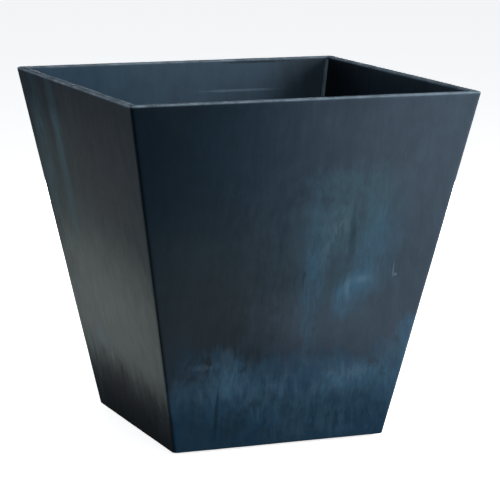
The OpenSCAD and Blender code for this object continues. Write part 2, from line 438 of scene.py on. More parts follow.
def turned(name: str, points: Sequence[Point], segments: int, middle: Point = (0, 0)) -> bpy.types.Object:
    """Turns an outline of (radius, height) points into a solid about an upright axis.

    Args:
        name: the piece's name.
        points: the closed outline. Points on the axis have a radius of 0.
        segments: how many steps go round.
        middle: where the axis stands.

    Returns:
        The closed solid, in object mode.
    """
    radius, height = points[0]
    piece = start(
        name, bpy.ops.mesh.primitive_circle_add, vertices=segments, radius=1, location=(*middle, height)
    )
    bpy.ops.mesh.select_mode(type="VERT")
    bpy.ops.mesh.select_all(action="SELECT")
    ring = max(radius, NEAR / 10)
    bpy.ops.transform.resize(value=(ring, ring, 1), center_override=(*middle, height))
    for next_radius, next_height in [*points[1:], points[0]]:
        next_ring = max(next_radius, NEAR / 10)
        bpy.ops.mesh.extrude_region_move(
            TRANSFORM_OT_translate={"value": (0, 0, next_height - height)}
        )
        grow = next_ring / ring
        bpy.ops.transform.resize(value=(grow, grow, 1), center_override=(*middle, next_height))
        ring, height = next_ring, next_height
    close_up(piece)
    return piece


def swept_square(name: str, points: Sequence[Point], cuts: int) -> bpy.types.Object:
    """Carries an outline of (half width, height) points round a square, with mitred corners.

    Args:
        name: the piece's name.
        points: the closed outline.
        cuts: how many times each side of the square is cut.

    Returns:
        The closed solid, in object mode.
    """
    half, height = points[0]
    piece = start(name, bpy.ops.mesh.primitive_plane_add, size=2 * half, location=(0, 0, height))
    bpy.ops.mesh.delete(type="ONLY_FACE")
    bpy.ops.mesh.select_all(action="SELECT")
    bpy.ops.mesh.subdivide(number_cuts=cuts)
    for next_half, next_height in [*points[1:], points[0]]:
        bpy.ops.mesh.extrude_region_move(
            TRANSFORM_OT_translate={"value": (0, 0, next_height - height)}
        )
        grow = next_half / half
        bpy.ops.transform.resize(value=(grow, grow, 1), center_override=(0, 0, next_height))
        half, height = next_half, next_height
    close_up(piece)
    return piece


def cylinder(
    name: str, radius: float, low: float, high: float, vertices: int = 64, middle: Point = (0, 0)
) -> bpy.types.Object:
    """An upright cylinder between two heights, in object mode, to cut or join with.

    Args:
        name: the piece's name.
        radius: its radius.
        low: height of its lower face.
        high: height of its upper face.
        vertices: flats round it.
        middle: its axis.

    Returns:
        The cylinder, in object mode.
    """
    piece = start(
        name,
        bpy.ops.mesh.primitive_cylinder_add,
        vertices=vertices,
        radius=radius,
        depth=high - low,
        location=(*middle, (low + high) / 2),
    )
    activate(piece)
    return piece


def cut_away(piece: bpy.types.Object, tool: bpy.types.Object, how: str = "DIFFERENCE") -> None:
    """Cuts a piece with a tool, or joins or trims it, and removes the tool.

    Args:
        piece: the object that stays.
        tool: the object that shapes it.
        how: DIFFERENCE, UNION or INTERSECT.
    """
    apply_modifier(piece, "BOOLEAN", object=tool, operation=how, solver="EXACT")
    bpy.data.objects.remove(tool)


def soften(piece: bpy.types.Object, width: float, segments: int = 2, angle: float = 30) -> None:
    """Bevels the edges of a piece that are sharper than an angle in degrees.

    Args:
        piece: the piece to bevel.
        width: how wide the bevels are.
        segments: flats across a bevel.
        angle: edges sharper than this are bevelled, in degrees.
    """
    apply_modifier(
        piece,
        "BEVEL",
        width=width,
        segments=segments,
        limit_method="ANGLE",
        angle_limit=math.radians(angle),
        use_clamp_overlap=True,
    )


def joined(name: str, parts: Sequence[bpy.types.Object]) -> bpy.types.Object:
    """Joins separate objects into one piece of that name.

    Args:
        name: the new piece's name.
        parts: the objects to join.

    Returns:
        The joined piece.
    """
    activate(parts[0])
    for part in parts:
        part.select_set(True)
    bpy.ops.object.join()
    piece = bpy.context.object
    piece.name = name
    piece.data.name = name
    return piece


# ---- Shader wiring ------------------------------------------------------------


class Wiring:
    """Adds nodes to one node tree and links them."""

    def __init__(self, tree: bpy.types.NodeTree) -> None:
        """Starts on a node tree."""
        self.tree = tree

    def add(self, kind: str, inputs: dict[str | int, Any] | None = None, **settings: Any) -> bpy.types.Node:
        """Adds a node.

        Args:
            kind: the node's type, without ShaderNode.
            inputs: input name or number to a constant or to the output that feeds it.
            settings: the node's own properties.

        Returns:
            The node.
        """
        node = self.tree.nodes.new("ShaderNode" + kind)
        for name, value in settings.items():
            setattr(node, name, value)
        for name, value in (inputs or {}).items():
            self.feed(node.inputs[name], value)
        return node

    def feed(self, socket: Socket, value: Any) -> None:
        """Links an output to an input, or sets a constant on it."""
        if isinstance(value, bpy.types.NodeSocket):
            self.tree.links.new(value, socket)
        else:
            socket.default_value = value

    def math(self, operation: str, a: Any, b: Any = 0.0, clamp: bool = False) -> Socket:
        """One sum on two numbers."""
        return self.add("Math", {0: a, 1: b}, operation=operation, use_clamp=clamp).outputs[0]

    def vector(self, operation: str, a: Any, b: Any = (0, 0, 0)) -> Socket:
        """One sum on two vectors."""
        return self.add("VectorMath", {0: a, 1: b}, operation=operation).outputs[0]

    def ramp(self, value: Any, low: float, high: float, to_low: float = 0, to_high: float = 1) -> Socket:
        """Maps low..high smoothly to to_low..to_high.

        Args:
            value: the value to map.
            low: where the ramp starts.
            high: where it ends.
            to_low: the result below the ramp.
            to_high: the result above it.

        Returns:
            The mapped value.
        """
        node = self.add(
            "MapRange",
            {"Value": value, "From Min": low, "From Max": high, "To Min": to_low, "To Max": to_high},
            interpolation_type="SMOOTHSTEP",
        )
        return node.outputs[0]

    def blend(self, factor: Any, first: Any, second: Any, how: str = "MIX") -> Socket:
        """Mixes two colours.

        Args:
            factor: how much of the second colour.
            first: a colour or its output.
            second: a colour or its output.
            how: the kind of mix.

        Returns:
            The mixed colour.
        """
        node = self.add("Mix", data_type="RGBA", blend_type=how, clamp_factor=True)
        self.feed(node.inputs[0], factor)
        self.feed(node.inputs[6], first if isinstance(first, bpy.types.NodeSocket) else (*first, 1))
        self.feed(node.inputs[7], second if isinstance(second, bpy.types.NodeSocket) else (*second, 1))
        return node.outputs[2]

    def noise(self, vector: Socket, scale: float, detail: float = 3, rough: float = 0.55) -> Socket:
        """Soft noise from 0 to 1."""
        inputs = {"Vector": vector, "Scale": scale, "Detail": detail, "Roughness": rough}
        return self.add("TexNoise", inputs).outputs[0]

    def bump(self, shader: bpy.types.Node, height: Socket, strength: float, distance: float) -> None:
        """Gives a shader a bumpy normal.

        Args:
            shader: the shader.
            height: the bumps' height.
            strength: how much of it shows.
            distance: the height of 1, in metres.
        """
        node = self.add("Bump", {"Height": height, "Strength": strength, "Distance": distance})
        self.feed(shader.inputs["Normal"], node.outputs[0])

    def group(self, group: bpy.types.NodeTree, inputs: dict[str, Any]) -> bpy.types.Node:
        """Places a shared node group.

        Args:
            group: the shared group.
            inputs: input name to a constant or an output.

        Returns:
            The new node.
        """
        node = self.tree.nodes.new("ShaderNodeGroup")
        node.node_tree = group
        for name, value in inputs.items():
            self.feed(node.inputs[name], value)
        return node


def new_group(
    name: str, inputs: dict[str, Any], outputs: Sequence[str]
) -> tuple[Wiring, dict[str, Socket], bpy.types.Node]:
    """Opens a shared node group.

    Args:
        name: the group's name.
        inputs: input name to its default, a number or a vector.
        outputs: names of the values it puts out.

    Returns:
        Its wiring, its inputs by name and the node that collects its outputs.
    """
    tree = bpy.data.node_groups.new(name, "ShaderNodeTree")
    for title, value in inputs.items():
        kind = "NodeSocketVector" if isinstance(value, tuple) else "NodeSocketFloat"
        tree.interface.new_socket(name=title, in_out="INPUT", socket_type=kind).default_value = value
    for title in outputs:
        tree.interface.new_socket(name=title, in_out="OUTPUT", socket_type="NodeSocketFloat")
    source = tree.nodes.new("NodeGroupInput")
    sink = tree.nodes.new("NodeGroupOutput")
    return Wiring(tree), {title: source.outputs[title] for title in inputs}, sink


def make_streaks() -> bpy.types.NodeTree:
    """Brush streaks that run down a wall: a value from 0 to 1.

    Returns:
        The shared group.
    """
    w, given, out = new_group(
        "Brush Streaks", {"Vector": (0.0, 0.0, 0.0), "Fineness": 90.0, "Length": 9.0}, ["Value"]
    )
    parts = w.add("SeparateXYZ", {0: given["Vector"]})
    down = w.math("DIVIDE", parts.outputs[2], given["Length"])
    stretched = w.add("CombineXYZ", {0: parts.outputs[0], 1: parts.outputs[1], 2: down}).outputs[0]
    bent = w.add("TexNoise", {"Vector": given["Vector"], "Scale": 14.0, "Detail": 1.0}).outputs[1]
    sway = w.vector("MULTIPLY", w.vector("SUBTRACT", bent, (0.5, 0.5, 0.5)), (0.022, 0.022, 0.006))
    where = w.vector("ADD", stretched, sway)
    noise = w.add(
        "TexNoise", {"Vector": where, "Scale": given["Fineness"], "Detail": 4.0, "Roughness": 0.62}
    )
    w.feed(out.inputs["Value"], noise.outputs[0])
    return w.tree


def make_mark(streaks: bpy.types.NodeTree) -> bpy.types.NodeTree:
    """A soft oval mark with frayed, streaky edges: a mask from 0 to 1.

    Args:
        streaks: the group that makes its streaks.

    Returns:
        The shared group.
    """
    w, given, out = new_group(
        "Wall Mark Mask",
        {
            "Vector": (0.0, 0.0, 0.0),
            "Middle": (0.0, 0.0, 0.0),
            "Size": (1.0, 1.0, 1.0),
            "Softness": 0.5,
            "Fray": 1.0,
            "Fineness": 90.0,
            "Dryness": 0.7,
        },
        ["Mask"],
    )
    offset = w.vector("DIVIDE", w.vector("SUBTRACT", given["Vector"], given["Middle"]), given["Size"])
    flat = w.vector("MULTIPLY", offset, (1, 0, 1))
    reach = w.add("VectorMath", {0: flat}, operation="LENGTH").outputs[1]
    streak = w.group(streaks, {"Vector": given["Vector"], "Fineness": given["Fineness"], "Length": 6.0})
    cloud = w.noise(given["Vector"], 26.0, 6, 0.62)
    strokes = w.math("MULTIPLY", w.math("SUBTRACT", streak.outputs[0], 0.5), 0.6)
    ragged = w.math("ADD", strokes, w.math("MULTIPLY", w.math("SUBTRACT", cloud, 0.5), 0.7))
    distance = w.math("ADD", reach, w.math("MULTIPLY", ragged, given["Fray"]))
    low = w.math("SUBTRACT", 1.0, given["Softness"])
    high = w.math("ADD", 1.0, given["Softness"])
    shape = w.ramp(distance, low, high, 1, 0)
    closer = w.math("MULTIPLY", given["Fineness"], 1.7)
    bristle = w.group(streaks, {"Vector": given["Vector"], "Fineness": closer, "Length": 9.0}).outputs[0]
    smear = w.math("ADD", w.math("MULTIPLY", bristle, 0.45), w.math("MULTIPLY", streak.outputs[0], 0.55))
    patchy = w.math("MULTIPLY", w.math("SUBTRACT", cloud, 0.5), 0.8)
    dry = w.ramp(w.math("ADD", smear, patchy), 0.40, 0.62)
    wet = w.math("SUBTRACT", 1.0, given["Dryness"])
    kept = w.math("ADD", w.math("MULTIPLY", dry, given["Dryness"]), wet)
    w.feed(out.inputs["Mask"], w.math("MULTIPLY", shape, kept))
    return w.tree


def make_grain() -> bpy.types.NodeTree:
    """Cast grain with trowel ripple and small air holes: a height and a tone, both about 0 to 1.

    Returns:
        The shared group.
    """
    w, given, out = new_group(
        "Cast Grain",
        {"Vector": (0.0, 0.0, 0.0), "Coarse": 60.0, "Fine": 700.0, "Holes": 110.0},
        ["Height", "Tone"],
    )
    where = given["Vector"]
    coarse = w.add("TexNoise", {"Vector": where, "Scale": given["Coarse"], "Detail": 4.0}).outputs[0]
    fine = w.add("TexNoise", {"Vector": where, "Scale": given["Fine"], "Detail": 2.0}).outputs[0]
    cells = w.add("TexVoronoi", {"Vector": given["Vector"], "Scale": given["Holes"]})
    pit = w.ramp(cells.outputs["Distance"], 0.05, 0.13)
    rare = w.ramp(w.add("SeparateColor", {0: cells.outputs["Color"]}).outputs[0], 0.86, 0.9)
    hole = w.math("MULTIPLY", w.math("SUBTRACT", 1.0, pit), rare)
    body = w.math("ADD", w.math("MULTIPLY", coarse, 0.55), w.math("MULTIPLY", fine, 0.3))
    w.feed(out.inputs["Height"], w.math("SUBTRACT", body, w.math("MULTIPLY", hole, 0.8)))
    w.feed(out.inputs["Tone"], w.math("ADD", w.math("MULTIPLY", coarse, 0.6), w.math("MULTIPLY", fine, 0.4)))
    return w.tree


def make_wear() -> bpy.types.NodeTree:
    """Rubbed convex edges, broken up by noise: a mask from 0 to 1.

    Returns:
        The shared group.
    """
    w, given, out = new_group(
        "Edge Wear", {"Vector": (0.0, 0.0, 0.0), "Sharpness": 0.53, "Break Up": 60.0}, ["Mask"]
    )
    edge = w.add("NewGeometry").outputs["Pointiness"]
    high = w.math("ADD", given["Sharpness"], 0.06)
    ramp = w.add("MapRange", {"Value": edge, "From Min": given["Sharpness"], "From Max": high})
    noise = w.add("TexNoise", {"Vector": given["Vector"], "Scale": given["Break Up"], "Detail": 4.0})
    broken = w.ramp(noise.outputs[0], 0.38, 0.62)
    w.feed(out.inputs["Mask"], w.math("MULTIPLY", ramp.outputs[0], broken))
    return w.tree


@dataclass(frozen=True)
class Effects:
    """The node groups that the finishes share.

    Args:
        streaks: brush streaks.
        mark: one brush mark.
        grain: cast grain.
        wear: rubbed edges.
    """

    streaks: bpy.types.NodeTree
    mark: bpy.types.NodeTree
    grain: bpy.types.NodeTree
    wear: bpy.types.NodeTree

    @classmethod
    def build(cls) -> "Effects":
        """Makes each shared group once."""
        streaks = make_streaks()
        return cls(streaks, make_mark(streaks), make_grain(), make_wear())


EFFECTS = Effects.build()


def new_material(name: str) -> tuple[bpy.types.Material, Wiring, bpy.types.Node]:
    """A material with a Principled shader and nothing else.

    Args:
        name: the material's name.

    Returns:
        The material, its wiring and its shader node.
    """
    material = bpy.data.materials.new(name)
    material.use_nodes = True
    shader = material.node_tree.nodes["Principled BSDF"]
    return material, Wiring(material.node_tree), shader


# ---- Finishes -----------------------------------------------------------------


class Tone(Enum):
    """The colour a mark leaves over the stain under it; some marks are painted light or shade."""

    BLUE = (0.060, 0.150, 0.235)
    TEAL = (0.060, 0.135, 0.170)
    SLATE = (0.064, 0.092, 0.124)
    PALE = (0.160, 0.240, 0.310)
    NAVY = (0.0015, 0.0090, 0.0170)
    STEEL = (0.022, 0.046, 0.072)
    DEEP = (0.008, 0.040, 0.078)
    GREEN = (0.080, 0.098, 0.094)
    CHALK = (0.175, 0.196, 0.186)
    DARK = (0.0030, 0.0045, 0.0065)
    PLUM = (0.024, 0.020, 0.028)


@dataclass(frozen=True)
class WallMark:
    """One soft-edged mark on a wall, placed as seen from in front of that wall. Most are stains; some are
    painted light or shade.

    Args:
        tone: the colour it leaves.
        across: its middle, to the right of the wall's middle.
        up: its middle, above the ground.
        width: half its width.
        height: half its height.
        strength: 0 to 1.
        softness: how gradually its edge fades.
        fray: how far streaks and clouds break up its edge.
        fineness: how close its streaks are.
        dryness: how much of it the bristles leave bare, from 0 to 1.
        inside: whether it is on the wall's inner face.
    """

    tone: Tone
    across: float
    up: float
    width: float
    height: float
    strength: float = 0.6
    softness: float = 0.35
    fray: float = 4.5
    fineness: float = 130.0
    dryness: float = 0.75
    inside: bool = False


@dataclass(frozen=True)
class StainedWall:
    """Hand-stained cast wall: dark ground, paler and bluer washes brushed over it, with painted light and
    shade among its marks and on its rim.

    Args:
        name: the material's name.
        turn: which wall it is for.
        marks: its stains and its painted light and shade, the lowest first.
        shift: moves the pattern, so that no two walls are alike.
        ground: the stain's own colour.
        wash: the paler stain over it.
        rim_highlight_and_wear: the rim's rubbed edges, with a painted highlight along its arrises and on its
            flat top.
        joint: the hairline between two walls.
        lining: the inner face.
        gloss: how much it shines, where 0.5 is a plain varnish.
        bump: strength of its grain.
    """

    name: str
    turn: Turn
    marks: tuple[WallMark, ...]
    shift: tuple[float, float, float] = (0.0, 0.0, 0.0)
    ground: Colour = (0.0130, 0.0255, 0.0360)
    wash: Colour = (0.0270, 0.0400, 0.0540)
    rim_highlight_and_wear: Colour = (0.22, 0.29, 0.35)
    joint: Colour = (0.006, 0.008, 0.010)
    lining: Colour = (0.0400, 0.0760, 0.1120)
    gloss: float = 0.12
    bump: float = 0.35

    def build(self) -> bpy.types.Material:
        """Makes the material.

        Returns:
            The material.
        """
        material, w, shader = new_material(self.name)
        place = w.add("TexCoord").outputs["Object"]
        # Seen from in front of the wall: x across it, z up it
        faced = w.add("Mapping", {"Vector": place, "Rotation": (0, 0, -self.turn.radians)}).outputs[0]
        moved = w.vector("ADD", faced, self.shift)
        streaks = w.group(EFFECTS.streaks, {"Vector": moved, "Fineness": 70.0, "Length": 10.0}).outputs[0]
        fine = w.group(EFFECTS.streaks, {"Vector": moved, "Fineness": 300.0, "Length": 14.0}).outputs[0]
        grain = w.group(EFFECTS.grain, {"Vector": moved, "Coarse": 45.0, "Fine": 900.0, "Holes": 75.0})
        broad = w.noise(moved, 5.5, 2)
        colour = w.blend(w.ramp(broad, 0.32, 0.72, 0.0, 0.75), self.ground, self.wash)
        tint = w.noise(w.vector("ADD", moved, (3.1, 1.7, 0.4)), 9.0, 2)
        colour = w.blend(w.ramp(tint, 0.52, 0.72, 0, 0.18), colour, Tone.PLUM.value)
        outside = self.outside_mask(w, faced)
        inside = w.math("SUBTRACT", 1.0, outside)
        colour = w.blend(w.math("MULTIPLY", inside, 0.8), colour, self.lining)
        # Stains, and the painted light and shade that are listed among the marks
        for mark in self.marks:
            inputs = {
                "Vector": moved,
                "Middle": tuple(a + b for a, b in zip((mark.across, 0, mark.up), self.shift)),
                "Size": (mark.width, 1, mark.height),
                "Softness": mark.softness,
                "Fray": mark.fray,
                "Fineness": mark.fineness,
                "Dryness": mark.dryness,
            }
            mask = w.group(EFFECTS.mark, inputs).outputs[0]
            mask = w.math("MULTIPLY", mask, inside if mark.inside else outside)
            colour = w.blend(w.math("MULTIPLY", mask, mark.strength), colour, mark.tone.value)
        light = w.ramp(streaks, 0.25, 0.75, 0.94, 1.06)
        light = w.math("ADD", light, w.ramp(fine, 0.2, 0.8, -0.05, 0.05))
        light = w.math("MULTIPLY", light, w.ramp(grain.outputs["Tone"], 0.3, 0.7, 0.94, 1.06))
        grey = w.add("CombineColor", {0: light, 1: light, 2: light}).outputs[0]
        colour = w.blend(1.0, colour, grey, "MULTIPLY")
        # The rim: rubbed edges, and a painted highlight along its arrises and on its flat top
        colour = w.blend(self.rim_highlight_and_wear_mask(w, place), colour, self.rim_highlight_and_wear)
        colour = w.blend(self.joint_mask(w, place), colour, self.joint)
        w.feed(shader.inputs["Base Color"], colour)
        w.feed(shader.inputs["Roughness"], w.ramp(streaks, 0.2, 0.8, 0.62, 0.48))
        shader.inputs["Specular IOR Level"].default_value = self.gloss
        height = w.math("MULTIPLY", grain.outputs["Height"], 0.7)
        height = w.math("ADD", height, w.math("MULTIPLY", fine, 0.3))
        w.bump(shader, height, self.bump, 0.0006)
        return material

    def outside_mask(self, w: Wiring, faced: Socket) -> Socket:
        """1 on the wall's outer face and rim, 0 on its inner face.

        Args:
            w: the material's wiring.
            faced: the place, seen from in front of the wall.

        Returns:
            The mask.
        """
        _, depth, up = w.add("SeparateXYZ", {0: faced}).outputs
        middle = TAPER.outer(0) - TAPER.wall / 2
        plane = w.math("ADD", w.math("MULTIPLY", up, TAPER.slope), middle)
        beyond = w.math("SUBTRACT", w.math("MULTIPLY", depth, -1.0), plane)
        over = w.math("SUBTRACT", up, TAPER.rim_z - TAPER.rim_round)
        return w.ramp(w.math("MAXIMUM", beyond, over), -1 * MM, 1 * MM)

    def rim_highlight_and_wear_mask(self, w: Wiring, place: Socket) -> Socket:
        """Where the rim's arrises are rubbed pale, with a painted highlight along them and on the flat top:
        0 to 1.

        Args:
            w: the material's wiring.
            place: the place on the object.

        Returns:
            The mask.
        """
        parts = w.add("SeparateXYZ", {0: place})
        x, y, z = parts.outputs
        half = w.math("MAXIMUM", w.math("ABSOLUTE", x), w.math("ABSOLUTE", y))
        up = w.math("SUBTRACT", z, TAPER.rim_z - 0.6 * MM)
        masks = []
        # Pale bands along the outer and inner arrises: rubbed edges and a painted highlight
        for edge in (TAPER.rim_half - 1.2 * MM, TAPER.inner(TAPER.rim_z) + 0.8 * MM):
            out = w.math("SUBTRACT", half, edge)
            offset = w.add("CombineXYZ", {0: out, 1: up}).outputs[0]
            distance = w.add("VectorMath", {0: offset}, operation="LENGTH")
            masks.append(w.ramp(distance.outputs[1], 0.6 * MM, 3.2 * MM, 1, 0))
        # The whole flat top made paler: a painted highlight where it faces up to the light
        flat = w.math("MULTIPLY", w.ramp(up, -0.6 * MM, 0.4 * MM), 0.45)
        edges = w.math("MAXIMUM", flat, w.math("MAXIMUM", *masks))
        broken = w.ramp(w.noise(place, 45.0, 5, 0.65), 0.30, 0.70, 0.35, 0.95)
        return w.math("MULTIPLY", edges, broken)

    def joint_mask(self, w: Wiring, place: Socket) -> Socket:
        """The hairline where two mitred walls meet: 0 to 1.

        Args:
            w: the material's wiring.
            place: the place on the object.

        Returns:
            The mask.
        """
        parts = w.add("SeparateXYZ", {0: place})
        x, y, _ = parts.outputs
        apart = w.math("ABSOLUTE", w.math("SUBTRACT", w.math("ABSOLUTE", x), w.math("ABSOLUTE", y)))
        line = w.ramp(apart, 0.15 * MM, 0.7 * MM, 1, 0)
        return w.math("MULTIPLY", line, w.ramp(w.noise(place, 40.0, 4), 0.3, 0.6, 0.2, 0.75))


@dataclass(frozen=True)
class Cast:
    """Unstained cast or trowelled material: the beads, the base and the corner blocks.

    Args:
        name: the material's name.
        colour: its dry colour.
        dark: its damp colour.
        coarse: how close its coarse grain is.
        bump: strength of its grain.
    """

    name: str
    colour: Colour
    dark: Colour
    coarse: float = 60.0
    bump: float = 0.5

    def build(self) -> bpy.types.Material:
        """Makes the material.

        Returns:
            The material.
        """
        material, w, shader = new_material(self.name)
        place = w.add("TexCoord").outputs["Object"]
        sizes = {"Vector": place, "Coarse": self.coarse, "Fine": 850.0, "Holes": 140.0}
        grain = w.group(EFFECTS.grain, sizes)
        wear = w.group(EFFECTS.wear, {"Vector": place, "Sharpness": 0.54, "Break Up": 90.0}).outputs[0]
        damp = w.noise(place, 14.0, 4)
        colour = w.blend(w.ramp(damp, 0.35, 0.65), self.dark, self.colour)
        pale = tuple(min(1.0, 1.7 * c) for c in self.colour)
        colour = w.blend(w.ramp(grain.outputs["Tone"], 0.45, 0.75, 0, 0.35), colour, pale)
        colour = w.blend(w.math("MULTIPLY", wear, 0.5), colour, pale)
        w.feed(shader.inputs["Base Color"], colour)
        w.feed(shader.inputs["Roughness"], w.ramp(damp, 0.3, 0.7, 0.72, 0.9))
        w.bump(shader, grain.outputs["Height"], self.bump, 0.001)
        return material


@dataclass(frozen=True)
class Moulded:
    """Moulded plastic or rubber: faint texture, rubbed edges and settled dust.

    Args:
        name: the material's name.
        colour: its own colour.
        roughness: its least and its most.
        texture: how close its surface texture is.
        bump: strength of that texture.
        dust: how much dust lies on its upper faces.
        dusty: the dust's colour.
    """

    name: str
    colour: Colour
    roughness: tuple[float, float] = (0.35, 0.55)
    texture: float = 900.0
    bump: float = 0.15
    dust: float = 0.25
    dusty: Colour = (0.16, 0.155, 0.14)

    def build(self) -> bpy.types.Material:
        """Makes the material.

        Returns:
            The material.
        """
        material, w, shader = new_material(self.name)
        place = w.add("TexCoord").outputs["Object"]
        wear = w.group(EFFECTS.wear, {"Vector": place, "Sharpness": 0.53, "Break Up": 160.0}).outputs[0]
        mottle = w.noise(place, 35.0, 4)
        pale = tuple(min(1.0, 1.6 * c + 0.02) for c in self.colour)
        dark = tuple(0.75 * c for c in self.colour)
        colour = w.blend(w.ramp(mottle, 0.35, 0.68), dark, self.colour)
        colour = w.blend(w.math("MULTIPLY", wear, 0.6), colour, pale)
        up = w.add("SeparateXYZ", {0: w.add("NewGeometry").outputs["Normal"]}).outputs[2]
        settled = w.math("MULTIPLY", w.ramp(up, 0.4, 0.95), w.ramp(w.noise(place, 55.0, 5), 0.42, 0.66))
        settled = w.math("MULTIPLY", settled, self.dust)
        colour = w.blend(settled, colour, self.dusty)
        w.feed(shader.inputs["Base Color"], colour)
        low, high = self.roughness
        w.feed(shader.inputs["Roughness"], w.math("ADD", w.ramp(mottle, 0.3, 0.7, low, high), settled))
        w.bump(shader, w.noise(place, self.texture, 2), self.bump, 0.0003)
        return material


@dataclass(frozen=True)
class Plated:
    """Zinc-plated steel, mottled and a little tarnished.

    Args:
        name: the material's name.
        colour: its clean colour.
    """

    name: str
    colour: Colour = (0.56, 0.57, 0.58)

    def build(self) -> bpy.types.Material:
        """Makes the material.

        Returns:
            The material.
        """
        material, w, shader = new_material(self.name)
        place = w.add("TexCoord").outputs["Object"]
        mottle = w.noise(place, 240.0, 4)
        tarnish = w.ramp(w.noise(place, 90.0, 4), 0.5, 0.72, 0, 0.6)
        colour = w.blend(w.ramp(mottle, 0.35, 0.65, 0, 0.5), self.colour, (0.42, 0.41, 0.38))
        colour = w.blend(tarnish, colour, (0.23, 0.20, 0.16))
        w.feed(shader.inputs["Base Color"], colour)
        shader.inputs["Metallic"].default_value = 1.0
        w.feed(shader.inputs["Roughness"], w.ramp(mottle, 0.3, 0.7, 0.28, 0.5))
        w.bump(shader, mottle, 0.1, 0.0002)
        return material


# ---- Walls --------------------------------------------------------------------


@dataclass
class Walls:
    """Four mitred panels with a plain flat rim, which lean outwards from the base.

    Args:
        taper: the walls' driving sizes.
        level: height of one band of the wall's mesh.
        cuts: how many times one side of the square is cut.
        corner_steps: flats round an outer corner.
        waves: size and depth of the broad unevenness of a cast wall.
        ripple: size and depth of the trowel ripple on top of it.
        dressing: each wall's own finish.
    """

    taper: Taper = TAPER
    level: float = 9 * MM
    cuts: int = 40
    corner_steps: int = 5
    waves: tuple[float, float] = (130 * MM, 0.7 * MM)
    ripple: tuple[float, float] = (17 * MM, 0.22 * MM)
    dressing: dict[Turn, StainedWall] = field(default_factory=dict)

    def outline(self) -> list[Point]:
        """The section of a wall and its rim, as (distance from the middle, height).

        Returns:
            The section's points in order.
        """
        t = self.taper
        corners = [
            (t.outer(t.foot_z), t.foot_z),
            (t.rim_half, t.rim_z),
            (t.inner(t.rim_z), t.rim_z),
            (t.inner(t.foot_z), t.foot_z),
        ]
        radii = [t.lip_round, t.rim_round, t.rim_round, t.lip_round]
        return divided(rounded(corners, radii), self.level)

    def ring(self) -> bpy.types.Object:
        """All four walls in one, cast in one mould.

        Returns:
            The ring, in object mode.
        """
        t = self.taper
        ring = swept_square("wall_ring", self.outline(), self.cuts)
        edit(ring)
        ends = (t.foot_z + NEAR, t.rim_z - NEAR)

        def on_corner(a: Vector, b: Vector) -> bool:
            """Whether an edge runs up the outer edge between two walls."""
            outside = all(
                abs(abs(p.x) - abs(p.y)) < NEAR and abs(p.x) > (t.outer(p.z) + t.inner(p.z)) / 2
                for p in (a, b)
            )
            return outside and max(a.z, b.z) > ends[0] and min(a.z, b.z) < ends[1]

        select_edges(ring, on_corner)
        bpy.ops.mesh.bevel(
            offset_type="OFFSET",
            offset=t.corner_round,
            segments=self.corner_steps,
            affect="EDGES",
            clamp_overlap=True,
        )
        close_up(ring)
        apply_modifier(ring, "SUBSURF", subdivision_type="SIMPLE", levels=1, render_levels=1)
        roughen(ring, *self.waves, "Cast Waves", middle=0.85)
        roughen(ring, *self.ripple, "Trowel Ripple", middle=0.85)
        return ring

    def panel(self, ring: bpy.types.Object, side: Turn) -> bpy.types.Object:
        """Cuts one wall out of the ring along its two mitres.

        Args:
            ring: all four walls.
            side: which wall.

        Returns:
            The wall, in object mode.
        """
        panel = copy_of(ring, f"{side.name.lower()}_wall")
        edit(panel)
        for lean in (-1, 1):
            across = Matrix.Rotation(side.radians, 3, "Z") @ Vector((lean, 1, 0))
            slice_off((0, 0, 0), across)
        close_up(panel)
        return panel

    def build(self) -> list[bpy.types.Object]:
        """Makes and dresses the four walls.

        Returns:
            The finished pieces.
        """
        ring = self.ring()
        panels = []
        for side, finish in self.dressing.items():
            panel = self.panel(ring, side)
            node = f"{side.name.lower()}_panel"
            panels.append(hand_over(panel, finish.build(), "root", [node]))
        bpy.data.objects.remove(ring)
        return panels


# ---- Beads and base -----------------------------------------------------------


